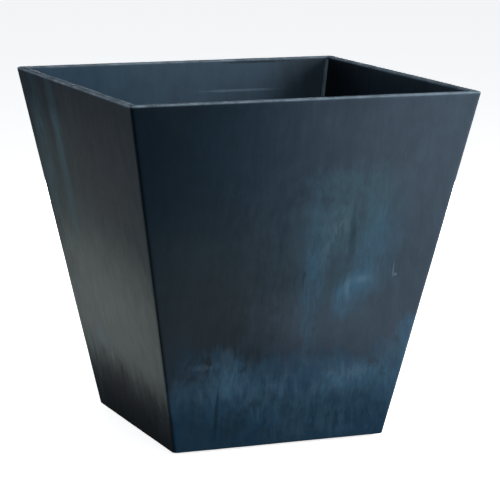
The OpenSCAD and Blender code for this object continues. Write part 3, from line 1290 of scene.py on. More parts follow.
@dataclass
class Beads:
    """Mortar beads laid by hand up the inner corners and round the base.

    Args:
        taper: the walls' driving sizes.
        radius: how far a bead stands out from its corner.
        gap: the bond line behind it.
        steps: how many stretches one bead is laid in.
        finish: its mortar.
    """

    taper: Taper = TAPER
    radius: float = 4.2 * MM
    gap: float = 0.1 * MM
    steps: int = 120
    finish: Cast = Cast("Seal Mortar", (0.080, 0.115, 0.145), (0.034, 0.051, 0.067), coarse=240.0)

    def corner(self, side: Turn, name: str) -> bpy.types.Object:
        """One bead, made in the front left corner and turned to its own.

        Args:
            side: how far it is turned from the front left.
            name: the corner's name.

        Returns:
            The bead, in object mode.
        """
        t = self.taper
        low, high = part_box(f"corner_seal_{name}")
        at = t.inner(low.z) - self.gap
        rise = (high.z - low.z) / self.steps
        out = rise * t.slope
        bead = start(
            f"bead_{name}",
            bpy.ops.mesh.primitive_circle_add,
            vertices=32,
            radius=self.radius,
            fill_type="NGON",
            location=(-at, -at, low.z),
        )
        for _ in range(self.steps):
            bpy.ops.mesh.extrude_region_move(TRANSFORM_OT_translate={"value": (-out, -out, rise)})
        close_up(bead)
        roughen(bead, 22 * MM, 1.6 * MM, "Laid Bead", middle=0.75)
        roughen(bead, 5 * MM, 0.5 * MM, "Bead Drag", middle=0.6)
        edit(bead)
        for normal in ((-1, 0, -t.slope), (0, -1, -t.slope)):
            point = tuple(-at if part else 0.0 for part in normal[:2])
            slice_off((*point, low.z), normal)
        close_up(bead)
        bead.data.transform(Matrix.Rotation(side.radians, 4, "Z"))
        return bead

    def base(self) -> bpy.types.Object:
        """The fillet round the top of the base, slightly hollow from the finger that smoothed it.

        Returns:
            The fillet, in object mode.
        """
        t = self.taper
        low, high = (corner.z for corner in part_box("base_seal"))
        leg = high - low
        face = [
            (t.inner(low) - leg * (1 - 0.9 * math.sin(a)), low + leg * (1 - math.cos(a)))
            for a in (math.radians(15 * i) for i in range(1, 6))
        ]
        points = [
            (t.inner(low) - self.gap, low),
            (t.inner(low) - leg, low),
            *face,
            (t.inner(high) - self.gap, high),
        ]
        bead = swept_square("bead_base", points, 60)
        roughen(bead, 18 * MM, 0.8 * MM, "Laid Fillet", middle=0.8)
        return bead

    def build(self) -> list[bpy.types.Object]:
        """Makes and dresses the five beads.

        Returns:
            The finished pieces.
        """
        mortar = self.finish.build()
        beads = [
            hand_over(self.corner(side, name), mortar, "root", [f"corner_seal_{name}"])
            for name, side in CORNERS.items()
        ]
        beads.append(hand_over(self.base(), mortar, "root", ["base_seal"]))
        return beads


@dataclass
class Base:
    """The cast base panel and the corner blocks that carry the feet.

    Args:
        taper: the walls' driving sizes.
        gap: the bond line round the base and the blocks.
        edge: how much their edges are rubbed round.
        outlet: diameter of the hole for the outlet.
        cuts: how many times the panel's sides are cut.
        chamfer: how far the blocks' inner corners are cut back.
        spare: how much larger a block starts than it ends.
        finish: their raw cast.
    """

    taper: Taper = TAPER
    gap: float = 0.1 * MM
    edge: float = 1.2 * MM
    outlet: float = 25.2 * MM
    cuts: int = 44
    chamfer: float = 8 * MM
    spare: float = 2 * MM
    finish: Cast = Cast("Raw Base", (0.085, 0.088, 0.086), (0.040, 0.044, 0.046), coarse=70.0, bump=0.7)

    def panel(self) -> bpy.types.Object:
        """The base slab, hand floated on top, with the outlet's hole.

        Returns:
            The slab, in object mode.
        """
        low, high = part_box("base_panel")
        side, thick = high.x - low.x, high.z - low.z
        slab = brick("cast_base", (0, 0, (low.z + high.z) / 2), (side, side, thick))
        select_edges(slab, lambda a, b: abs(a.z - b.z) < NEAR)
        bpy.ops.mesh.subdivide(number_cuts=self.cuts)
        close_up(slab)
        roughen(slab, 28 * MM, 0.7 * MM, "Floated Face", middle=0.95)
        bore = cylinder("outlet_bore", self.outlet / 2, low.z - CLEAR, high.z + CLEAR)
        cut_away(slab, bore)
        soften(slab, self.edge, 3, 60)
        return slab

    def block(self, name: str, side: Turn) -> bpy.types.Object:
        """One corner block, made in the front left corner and turned to its own.

        Args:
            name: the corner's name.
            side: how far it is turned from the front left.

        Returns:
            The block, in object mode.
        """
        t = self.taper
        low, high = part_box(f"corner_block_{name}")
        reach = max(abs(low.x), abs(high.x))
        near = min(abs(low.x), abs(high.x))
        middle = -(reach + near) / 2
        side_length = reach - near + self.spare
        block = brick(
            f"cast_block_{name}",
            (middle, middle, (low.z + high.z) / 2),
            (side_length, side_length, high.z - low.z),
        )
        bpy.ops.mesh.subdivide(number_cuts=10)
        foot_inner = t.inner(low.z) - self.gap
        for normal in ((-1, 0, -t.slope), (0, -1, -t.slope)):
            point = tuple(-foot_inner if part else 0.0 for part in normal[:2])
            slice_off((*point, low.z), normal)
        chamfer = -near - self.chamfer / 2
        slice_off((chamfer, chamfer, 0), (1, 1, 0))
        close_up(block)
        soften(block, self.edge, 3, 40)
        roughen(block, 20 * MM, 0.5 * MM, "Cast Block", middle=1.0)
        block.data.transform(Matrix.Rotation(side.radians, 4, "Z"))
        return block

    def build(self) -> list[bpy.types.Object]:
        """Makes and dresses the base and its four blocks.

        Returns:
            The finished pieces.
        """
        raw = self.finish.build()
        made = [hand_over(self.panel(), raw, "root", ["base_panel"])]
        for name, side in CORNERS.items():
            made.append(hand_over(self.block(name, side), raw, "root", [f"corner_block_{name}"]))
        return made


# ---- Feet ---------------------------------------------------------------------


@dataclass
class Feet:
    """Moulded rubber feet, each held by a countersunk cross-head screw.

    Args:
        shank: radius of a screw's shank.
        head: radius of its head.
        head_low: height of the head's lower face above the ground.
        head_high: height of its upper face.
        point: height of its point.
        pitch: distance between its threads.
        thread: depth of its threads.
        rubber: the feet's finish.
        steel: the screws' finish.
    """

    shank: float = 2.4 * MM
    head: float = 4.8 * MM
    head_low: float = 1.5 * MM
    head_high: float = 4.5 * MM
    point: float = 24.5 * MM
    pitch: float = 1.6 * MM
    thread: float = 0.7 * MM
    rubber: Moulded = Moulded("Foot Rubber", (0.012, 0.012, 0.013), (0.55, 0.75), 1400.0, 0.3, 0.35)
    steel: Plated = Plated("Screw Steel")

    def foot(self) -> tuple[Vector, list[Point]]:
        """The front left foot's middle and its outline, with two grooves round it and rings under it.

        Returns:
            The middle, then the outline as (distance from it, height).
        """
        low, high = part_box("rubber_foot_front_left")
        radius = (high.x - low.x) / 2
        top = high.z
        recess = self.head + 0.5 * MM
        hole = self.shank + 0.1 * MM
        taper = 1.5 * MM
        groove = 0.5 * MM

        def side(z: float, cut: float = 0.0) -> Point:
            """A point on the foot's tapered side."""
            return radius - taper * (1 - z / top) - cut, z

        under = radius - taper
        corners = [
            (recess, 0.0),
            (recess + 2.4 * MM, 0.0),
            (recess + 2.8 * MM, groove),
            (recess + 3.6 * MM, groove),
            (recess + 4.0 * MM, 0.0),
            (recess + 6.0 * MM, 0.0),
            (recess + 6.4 * MM, groove),
            (recess + 7.2 * MM, groove),
            (recess + 7.6 * MM, 0.0),
            (under, 0.0),
            side(3.0 * MM),
            side(3.2 * MM, groove),
            side(3.7 * MM, groove),
            side(3.9 * MM),
            side(5.1 * MM),
            side(5.3 * MM, groove),
            side(5.8 * MM, groove),
            side(6.0 * MM),
            (radius, top),
            (hole, top),
            (hole, self.head_high),
            (recess, self.head_high),
        ]
        radii = [0.3 * MM] + [0.15 * MM] * 8 + [1.8 * MM] + [0.08 * MM] * 8 + [0.8 * MM, 0, 0, 0.3 * MM]
        return Vector(((low.x + high.x) / 2, (low.y + high.y) / 2, 0)), rounded(corners, radii, 4)

    def screw(self, middle: Point) -> bpy.types.Object:
        """A threaded screw with a cross recess in its head, under the foot.

        Args:
            middle: where it stands.

        Returns:
            The screw, in object mode.
        """
        points = [
            (0.0, self.head_low),
            (self.head - 1.0 * MM, self.head_low),
            (self.head - 0.35 * MM, self.head_low + 0.3 * MM),
            (self.head, self.head_low + 1.0 * MM),
            (self.head, self.head_high),
            (self.shank - self.thread, self.head_high),
        ]
        z = self.head_high + 1.5 * MM
        taper_from = self.point - 2 * self.shank
        while z < self.point - self.pitch:
            shrink = max(0.15, min(1.0, (self.point - z) / (self.point - taper_from)))
            points += [
                ((self.shank - self.thread) * shrink, z),
                (self.shank * shrink, z + 0.4 * self.pitch),
                (self.shank * shrink, z + 0.5 * self.pitch),
            ]
            z += self.pitch
        points.append((0.0, self.point))
        screw = turned("foot_screw", points, FLATS_SMALL, middle)
        for turn in (0, 90):
            at = (*middle, self.head_low + 0.9 * MM)
            slot = brick("cross", at, (5 * MM, 1 * MM, 2 * MM), math.radians(turn))
            select_faces(slot, lambda _, normal: normal.z > 0.5)
            bpy.ops.transform.resize(
                value=(0.7, 0.7, 1), center_override=(*middle, self.head_low + 1.9 * MM)
            )
            activate(slot)
            cut_away(screw, slot)
        soften(screw, 0.12 * MM, 2, 45)
        drop_slivers(screw)
        return screw

    def build(self) -> list[bpy.types.Object]:
        """Makes and dresses four feet and four screws.

        Returns:
            The finished pieces.
        """
        rubber = self.rubber.build()
        middle, outline = self.foot()
        foot = turned("moulded_foot", outline, FLATS_MIDDLE, (middle.x, middle.y))
        screw = self.screw((middle.x, middle.y))
        made = []
        screws = []
        for name, side in CORNERS.items():
            change = Matrix.Rotation(side.radians, 4, "Z")
            twin = copy_of(foot, f"moulded_foot_{name}", change)
            made.append(hand_over(twin, rubber, "root", [f"rubber_foot_{name}"]))
            screws.append(copy_of(screw, f"screw_{name}", change))
        bpy.data.objects.remove(foot)
        bpy.data.objects.remove(screw)
        fixings = joined("cross_head_screws", screws)
        made.append(hand_over(fixings, self.steel.build(), "root", ["foot_screws"]))
        return made


# ---- Drain --------------------------------------------------------------------


@dataclass
class Drain:
    """The threaded outlet with its gasket, nut and plug, and the overflow pipe and its strainer.

    Args:
        bore: radius of the outlet's bore.
        thread_outer: radius over the outlet's thread.
        thread: depth of that thread.
        pitch: distance between its turns.
        pipe_outer: radius of the overflow pipe.
        pipe_wall: its wall.
        slots: how many slots the strainer has.
        slot: width of one slot.
        black: the bush's and the nut's plastic.
        grey: the pipe's and the strainer's plastic.
        plug_rubber: the plug's finish.
        gasket_rubber: the gasket's finish.
    """

    bore: float = 9.5 * MM
    thread_outer: float = 12.5 * MM
    thread: float = 0.6 * MM
    pitch: float = 1.8 * MM
    pipe_outer: float = 9.45 * MM
    pipe_wall: float = 2 * MM
    slots: int = 12
    slot: float = 2.5 * MM
    black: Moulded = Moulded("Drain Plastic", (0.014, 0.014, 0.015), (0.32, 0.5), 700.0, 0.12, 0.2)
    grey: Moulded = Moulded("Pipe Plastic", (0.035, 0.037, 0.040), (0.3, 0.48), 800.0, 0.1, 0.3)
    plug_rubber: Moulded = Moulded("Plug Rubber", (0.011, 0.011, 0.011), (0.5, 0.7), 1500.0, 0.3, 0.1)
    gasket_rubber: Moulded = Moulded("Gasket Rubber", (0.014, 0.014, 0.015), (0.55, 0.75), 1400.0, 0.3, 0.2)

    def bush(self) -> bpy.types.Object:
        """The flanged outlet, threaded below the base.

        Returns:
            The bush, in object mode.
        """
        low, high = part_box("drain_bush")
        flange = high.x
        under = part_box("drain_gasket")[1].z
        end = 0.8 * MM
        points = [
            (self.bore, low.z + 0.3 * MM),
            (self.bore + 0.3 * MM, low.z),
            (self.thread_outer - end, low.z),
        ]
        z = low.z + end
        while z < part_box("base_panel")[0].z:
            points += [
                (self.thread_outer - self.thread, z),
                (self.thread_outer, z + 0.4 * self.pitch),
                (self.thread_outer, z + 0.6 * self.pitch),
            ]
            z += self.pitch
        points += rounded(
            [
                (self.thread_outer, under - 8 * MM),
                (self.thread_outer, under),
                (flange, under),
                (flange, high.z - 0.7 * MM),
                (flange - 4 * MM, high.z),
                (flange - 6 * MM, high.z),
                (flange - 6.5 * MM, high.z - 0.5 * MM),
                (flange - 8 * MM, high.z - 0.5 * MM),
                (flange - 8.5 * MM, high.z),
                (self.bore, high.z),
            ],
            [0, 0, 0.5 * MM, 0.8 * MM, 1.0 * MM, 0.2 * MM, 0.1 * MM, 0.1 * MM, 0.2 * MM, 0.7 * MM],
            4,
        )
        return turned("outlet_bush", points, FLATS_LARGE)

    def gasket(self) -> bpy.types.Object:
        """The flat rubber ring under the outlet's flange, slightly squeezed out at its rim.

        Returns:
            The gasket, in object mode.
        """
        low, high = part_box("drain_gasket")
        inner = self.thread_outer + 0.1 * MM
        corners = [(inner, low.z), (high.x, low.z), (high.x, high.z), (inner, high.z)]
        radii = [0.2 * MM, 0.8 * MM, 0.8 * MM, 0.2 * MM]
        return turned("outlet_gasket", rounded(corners, radii, 4), FLATS_LARGE)

    def nut(self) -> bpy.types.Object:
        """A hexagon nut with turned-off corners.

        Returns:
            The nut, in object mode.
        """
        low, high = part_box("drain_nut")
        corner = max(high.x, high.y)
        nut = cylinder("outlet_nut", corner, low.z, high.z, 6)
        wide = (high.x - low.x) > (high.y - low.y)
        nut.data.transform(Matrix.Rotation(math.radians(30 if wide else 0), 4, "Z"))
        flat = corner * math.cos(math.radians(30))
        edge = corner - flat
        rise = 0.6 * edge
        cone = turned(
            "turning",
            [
                (0.0, low.z - NEAR),
                (flat - 0.3 * MM, low.z - NEAR),
                (corner + 0.3 * MM, low.z + rise),
                (corner + 0.3 * MM, high.z - rise),
                (flat - 0.3 * MM, high.z + NEAR),
                (0.0, high.z + NEAR),
            ],
            FLATS_LARGE,
        )
        cut_away(nut, cone, "INTERSECT")
        bore = cylinder("nut_bore", self.thread_outer + 0.1 * MM, low.z - CLEAR, high.z + CLEAR)
        cut_away(nut, bore)
        soften(nut, 0.35 * MM, 2, 25)
        return nut

    def plug(self) -> bpy.types.Object:
        """The tapered rubber plug with two sealing ribs, a lipped head and a pull ring.

        Returns:
            The plug, in object mode.
        """
        low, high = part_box("drain_plug")
        head_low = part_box("drain_bush")[0].z - 4 * MM
        head_high = head_low + 4 * MM
        core = self.bore - 1 * MM
        rib = self.bore - 0.05 * MM
        wide = self.thread_outer
        corners = [
            (0.0, head_low + 0.8 * MM),
            (wide - 4.5 * MM, head_low + 0.8 * MM),
            (wide - 3.5 * MM, head_low),
            (wide, head_low),
            (wide, head_high),
            (core, head_high),
            (core, head_high + 2.2 * MM),
            (rib, head_high + 3.0 * MM),
            (core, head_high + 3.9 * MM),
            (core, high.z - 3.9 * MM),
            (rib, high.z - 3.0 * MM),
            (core - 0.2 * MM, high.z - 2.0 * MM),
            (core - 1.2 * MM, high.z),
            (0.0, high.z),
        ]
        radii = [0, 0.5, 0.4, 1.0, 0.6, 0.3, 0.2, 0.3, 0.2, 0.2, 0.3, 0.3, 0.5, 0]
        body = turned("outlet_plug", rounded(corners, [r * MM for r in radii], 4), FLATS_MIDDLE)
        outer = (head_low + 1.5 * MM - low.z) / 2
        ring = start(
            "pull_ring",
            bpy.ops.mesh.primitive_torus_add,
            major_segments=56,
            minor_segments=18,
            major_radius=outer - 1.5 * MM,
            minor_radius=1.5 * MM,
            location=(0, 0, low.z + outer),
            rotation=(math.radians(90), 0, 0),
        )
        activate(ring)
        cut_away(body, ring, "UNION")
        boss = turned(
            "ring_boss",
            [
                (0.0, head_low - 1.6 * MM),
                (2.0 * MM, head_low - 1.4 * MM),
                (3.0 * MM, head_low - 0.4 * MM),
                (3.4 * MM, head_low + 1.4 * MM),
                (0.0, head_low + 1.4 * MM),
            ],
            FLATS_SMALL,
        )
        cut_away(body, boss, "UNION")
        drop_slivers(body)
        return body

    def pipe(self) -> bpy.types.Object:
        """The overflow pipe with its stop collar.

        Returns:
            The pipe, in object mode.
        """
        low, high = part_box("overflow_pipe")
        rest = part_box("drain_bush")[1].z
        inner = self.pipe_outer - self.pipe_wall
        collar = high.x
        corners = [
            (inner, low.z),
            (self.pipe_outer, low.z),
            (self.pipe_outer, rest),
            (collar, rest),
            (collar, rest + 3 * MM),
            (self.pipe_outer, rest + 3 * MM),
            (self.pipe_outer, high.z),
            (inner, high.z),
        ]
        radii = [0.3, 0.6, 0, 0.3, 0.8, 0.6, 0.4, 0.4]
        return turned("standing_pipe", rounded(corners, [r * MM for r in radii], 4), FLATS_MIDDLE)

    def strainer(self) -> bpy.types.Object:
        """The slotted cap over the pipe's end, with a shallow dome and a grip bead at its foot.

        Returns:
            The strainer, in object mode.
        """
        low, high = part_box("overflow_strainer")
        outer = high.x
        pipe_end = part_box("overflow_pipe")[1].z
        seat = self.pipe_outer + 0.1 * MM
        inner = self.pipe_outer - self.pipe_wall
        roof = high.z - 2 * MM
        corners = [
            (seat, low.z),
            (outer, low.z),
            (outer, low.z + 2.0 * MM),
            (outer - 0.5 * MM, low.z + 2.6 * MM),
            (outer - 0.5 * MM, high.z - 0.9 * MM),
            (outer - 4 * MM, high.z - 0.15 * MM),
            (0.0, high.z),
            (0.0, roof),
            (inner, roof),
            (inner, pipe_end),
            (seat, pipe_end),
        ]
        radii = [0.3, 0.6, 0.4, 0.3, 1.2, 2.0, 0, 0, 0.5, 0.2, 0.2]
        cap = turned("slotted_strainer", rounded(corners, [r * MM for r in radii], 4), FLATS_LARGE)
        for index in range(self.slots // 2):
            cutter = brick(
                "slot_cutter",
                (0, 0, (pipe_end + roof) / 2),
                (4 * outer, self.slot, roof - pipe_end - 2 * MM),
                2 * math.pi * index / self.slots,
            )
            activate(cutter)
            cut_away(cap, cutter)
        soften(cap, 0.25 * MM, 2, 40)
        return cap

    def build(self) -> list[bpy.types.Object]:
        """Makes and dresses the drain's six pieces; the plug is its own body.

        Returns:
            The finished pieces.
        """
        black = self.black.build()
        grey = self.grey.build()
        return [
            hand_over(self.bush(), black, "root", ["drain_bush"]),
            hand_over(self.nut(), black, "root", ["drain_nut"]),
            hand_over(self.gasket(), self.gasket_rubber.build(), "root", ["drain_gasket"]),
            hand_over(self.plug(), self.plug_rubber.build(), "drain_plug", ["drain_plug"]),
            hand_over(self.pipe(), grey, "root", ["overflow_pipe"]),
            hand_over(self.strainer(), grey, "root", ["overflow_strainer"]),
        ]


# ---- Drainage plate -----------------------------------------------------------


@dataclass
class DrainagePlate:
    """The loose slotted plate that keeps the soil above the reservoir, and the legs it stands on.

    Args:
        edge: how much the plate's moulded edges are rounded.
        wall: a leg's wall.
        notch: width and height of the water notches at a leg's foot.
        finish: its recycled plastic.
    """

    edge: float = 0.5 * MM
    wall: float = 2.5 * MM
    notch: tuple[float, float] = (6 * MM, 8 * MM)
    finish: Moulded = Moulded("Plate Plastic", (0.024, 0.026, 0.028), (0.66, 0.76), 600.0, 0.15, 0.3)

    def plate(self) -> bpy.types.Object:
        """The moulded plate: the part's own shape, merged, with its edges rounded.

        Returns:
            The plate, in object mode.
        """
        plate = copy_of(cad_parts["drainage_plate"], "slotted_plate")
        plate.parent = None
        for key in list(plate.keys()):
            del plate[key]
        edit(plate)
        bpy.ops.mesh.select_all(action="SELECT")
        bpy.ops.mesh.remove_doubles(threshold=NEAR)
        bpy.ops.mesh.dissolve_limited(angle_limit=math.radians(0.5))
        bpy.ops.object.mode_set(mode="OBJECT")
        soften(plate, self.edge, 2, 40)
        return plate

    def leg(self, place: tuple[Vector, Vector]) -> bpy.types.Object:
        """One tubular leg with crossed water notches at its foot.

        Args:
            place: two opposite corners of the leg's box.

        Returns:
            The leg, in object mode.
        """
        low, high = place
        middle = ((low.x + high.x) / 2, (low.y + high.y) / 2)
        outer = (high.x - low.x) / 2
        corners = [(outer - self.wall, low.z), (outer, low.z), (outer, high.z), (outer - self.wall, high.z)]
        outline = divided(rounded(corners, [0.5 * MM] * 4, 3), 12 * MM)
        leg = turned("leg", outline, FLATS_LEG, middle)
        width, height = self.notch
        for turn in (0, 90):
            size = (4 * outer, width, 2 * height)
            cutter = brick("notch_cutter", (*middle, low.z), size, math.radians(turn))
            activate(cutter)
            soften(cutter, 1.5 * MM, 4)
            cut_away(leg, cutter)
        soften(leg, 0.3 * MM, 2, 45)
        return leg

    def build(self) -> list[bpy.types.Object]:
        """Makes and dresses the plate and its eight legs; all move together.

        Returns:
            The finished pieces.
        """
        plastic = self.finish.build()
        made = [hand_over(self.plate(), plastic, "drainage_plate", ["drainage_plate"])]
        legs = sorted(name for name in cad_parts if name.startswith("plate_leg_"))
        first = legs[0]
        model = self.leg(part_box(first))
        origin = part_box(first)[0]
        for node in legs:
            change = Matrix.Translation(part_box(node)[0] - origin)
            twin = copy_of(model, node.replace("plate_leg", "tube_leg"), change)
            made.append(hand_over(twin, plastic, "drainage_plate", [node]))
        bpy.data.objects.remove(model)
        return made


# ---- Studio -------------------------------------------------------------------


@dataclass(frozen=True)
class Softbox:
    """A large soft light that is aimed at a point and can't be seen itself.

    Args:
        name: the light's name.
        place: where it hangs.
        size: its width and height.
        power: in watts.
        aim: the point it faces.
        colour: its colour.
        gloss: how strongly it shows in glossy surfaces.
    """

    name: str
    place: tuple[float, float, float]
    size: tuple[float, float]
    power: float
    aim: tuple[float, float, float] = (0.0, 0.0, 0.22)
    colour: Colour = (1.0, 1.0, 1.0)
    gloss: float = 1.0

    def build(self) -> bpy.types.Object:
        """Hangs the light.

        Returns:
            The light.
        """
        data = bpy.data.lights.new(self.name, "AREA")
        data.shape = "RECTANGLE"
        data.size, data.size_y = self.size
        data.energy = self.power
        data.color = self.colour
        data.specular_factor = self.gloss
        light = bpy.data.objects.new(self.name, data)
        light.location = self.place
        towards = Vector(self.aim) - Vector(self.place)
        light.rotation_euler = towards.to_track_quat("-Z", "Y").to_euler()
        light.visible_camera = False
        bpy.context.scene.collection.objects.link(light)
        return light


@dataclass
class Studio:
    """Plain pale floor, soft light and the camera.

    Args:
        turn: the camera's turn about Z from the front, in degrees.
        rise: its angle above the ground.
        roll: how much it is tilted about its own axis.
        distance: from the camera to the plane it looks at.
        slide: how far it is moved to its own right and up.
        lens: its focal length in millimetres.
        floor_size: the floor's width.
        floor_z: the floor's height, just under the feet.
        floor_seen: the floor's colour to the camera.
        floor_lit: the colour it throws back on the object.
        floor_glow: how strongly it glows to the camera.
        air_lit: the colour of the light from all round.
        air_strength: how strong that light is.
        sensor: the camera's width in millimetres.
        clip_end: how far the camera sees.
        softboxes: the lights.
    """

    turn: float = -22.011
    rise: float = 10.318
    roll: float = 0.375
    distance: float = 3.17365
    slide: Point = (0.01523, 0.21768)
    lens: float = 178.1
    floor_size: float = 90.0
    floor_z: float = -0.2 * MM
    floor_seen: Colour = (0.88, 0.88, 0.88)
    floor_lit: Colour = (0.16, 0.175, 0.19)
    floor_glow: float = 0.95
    air_lit: Colour = (0.70, 1.0, 1.30)
    air_strength: float = 0.07
    sensor: float = 36.0
    clip_end: float = 200.0
    softboxes: tuple[Softbox, ...] = (
        Softbox("Key", (1.7, -1.2, 0.8), (1.2, 1.3), 50.0, (0.05, -0.1, 0.25)),
        Softbox("Low Left", (-1.7, 0.7, 0.35), (1.0, 0.6), 14.0, (-0.1, 0.05, 0.15)),
        Softbox("Front Top", (0.1, -1.3, 2.4), (1.6, 1.2), 26.0, (0.0, 0.1, 0.35)),
        Softbox("Low Back", (0.7, 1.9, 0.30), (1.4, 0.5), 34.0, (0.05, 0.2, 0.22)),
    )

    def floor(self) -> bpy.types.Object:
        """The pale floor, which lights nothing more than it would if it were grey.

        Returns:
            The floor.
        """
        floor = start(
            "studio_floor",
            bpy.ops.mesh.primitive_plane_add,
            size=self.floor_size,
            location=(0, 0, self.floor_z),
        )
        activate(floor)
        material, w, shader = new_material("Studio Floor")
        seen = w.add("LightPath").outputs["Is Camera Ray"]
        w.feed(shader.inputs["Base Color"], w.blend(seen, self.floor_lit, self.floor_seen))
        shader.inputs["Roughness"].default_value = 0.9
        shader.inputs["Specular IOR Level"].default_value = 0.0
        shader.inputs["Emission Color"].default_value = (*self.floor_seen, 1.0)
        w.feed(shader.inputs["Emission Strength"], w.math("MULTIPLY", seen, self.floor_glow))
        floor.data.materials.append(material)
        return floor

    def air(self) -> None:
        """A pale world that the camera sees white and that lights the object gently."""
        world = bpy.data.worlds.new("Studio Air")
        world.use_nodes = True
        bpy.context.scene.world = world
        w = Wiring(world.node_tree)
        shade = world.node_tree.nodes["Background"]
        seen = w.add("LightPath").outputs["Is Camera Ray"]
        w.feed(shade.inputs["Color"], w.blend(seen, self.air_lit, (1.0, 1.0, 1.0)))
        w.feed(shade.inputs["Strength"], w.ramp(seen, 0, 1, self.air_strength, 1.0))

    def camera(self) -> bpy.types.Object:
        """The camera, turned, raised, rolled and slid to its place.

        Returns:
            The camera.
        """
        turn, rise, roll = (math.radians(a) for a in (self.turn, self.rise, self.roll))
        back = Vector((math.sin(turn) * math.cos(rise), -math.cos(turn) * math.cos(rise), math.sin(rise)))
        right = Vector((math.cos(turn), math.sin(turn), 0))
        up = back.cross(right)
        tilted_right = math.cos(roll) * right + math.sin(roll) * up
        tilted_up = math.cos(roll) * up - math.sin(roll) * right
        data = bpy.data.cameras.new("camera")
        data.lens = self.lens
        data.sensor_width = self.sensor
        data.clip_end = self.clip_end
        camera = bpy.data.objects.new("camera", data)
        place = back * self.distance + tilted_right * self.slide[0] + tilted_up * self.slide[1]
        frame_axes = Matrix((tilted_right, tilted_up, back)).transposed().to_4x4()
        camera.matrix_world = Matrix.Translation(place) @ frame_axes
        bpy.context.scene.collection.objects.link(camera)
        bpy.context.scene.camera = camera
        return camera

    def build(self) -> None:
        """Sets up the floor, the world, the lights and the camera."""
        self.floor()
        self.air()
        for softbox in self.softboxes:
            softbox.build()
        self.camera()
        bpy.context.scene.view_settings.view_transform = "Standard"


# ---- The whole ----------------------------------------------------------------


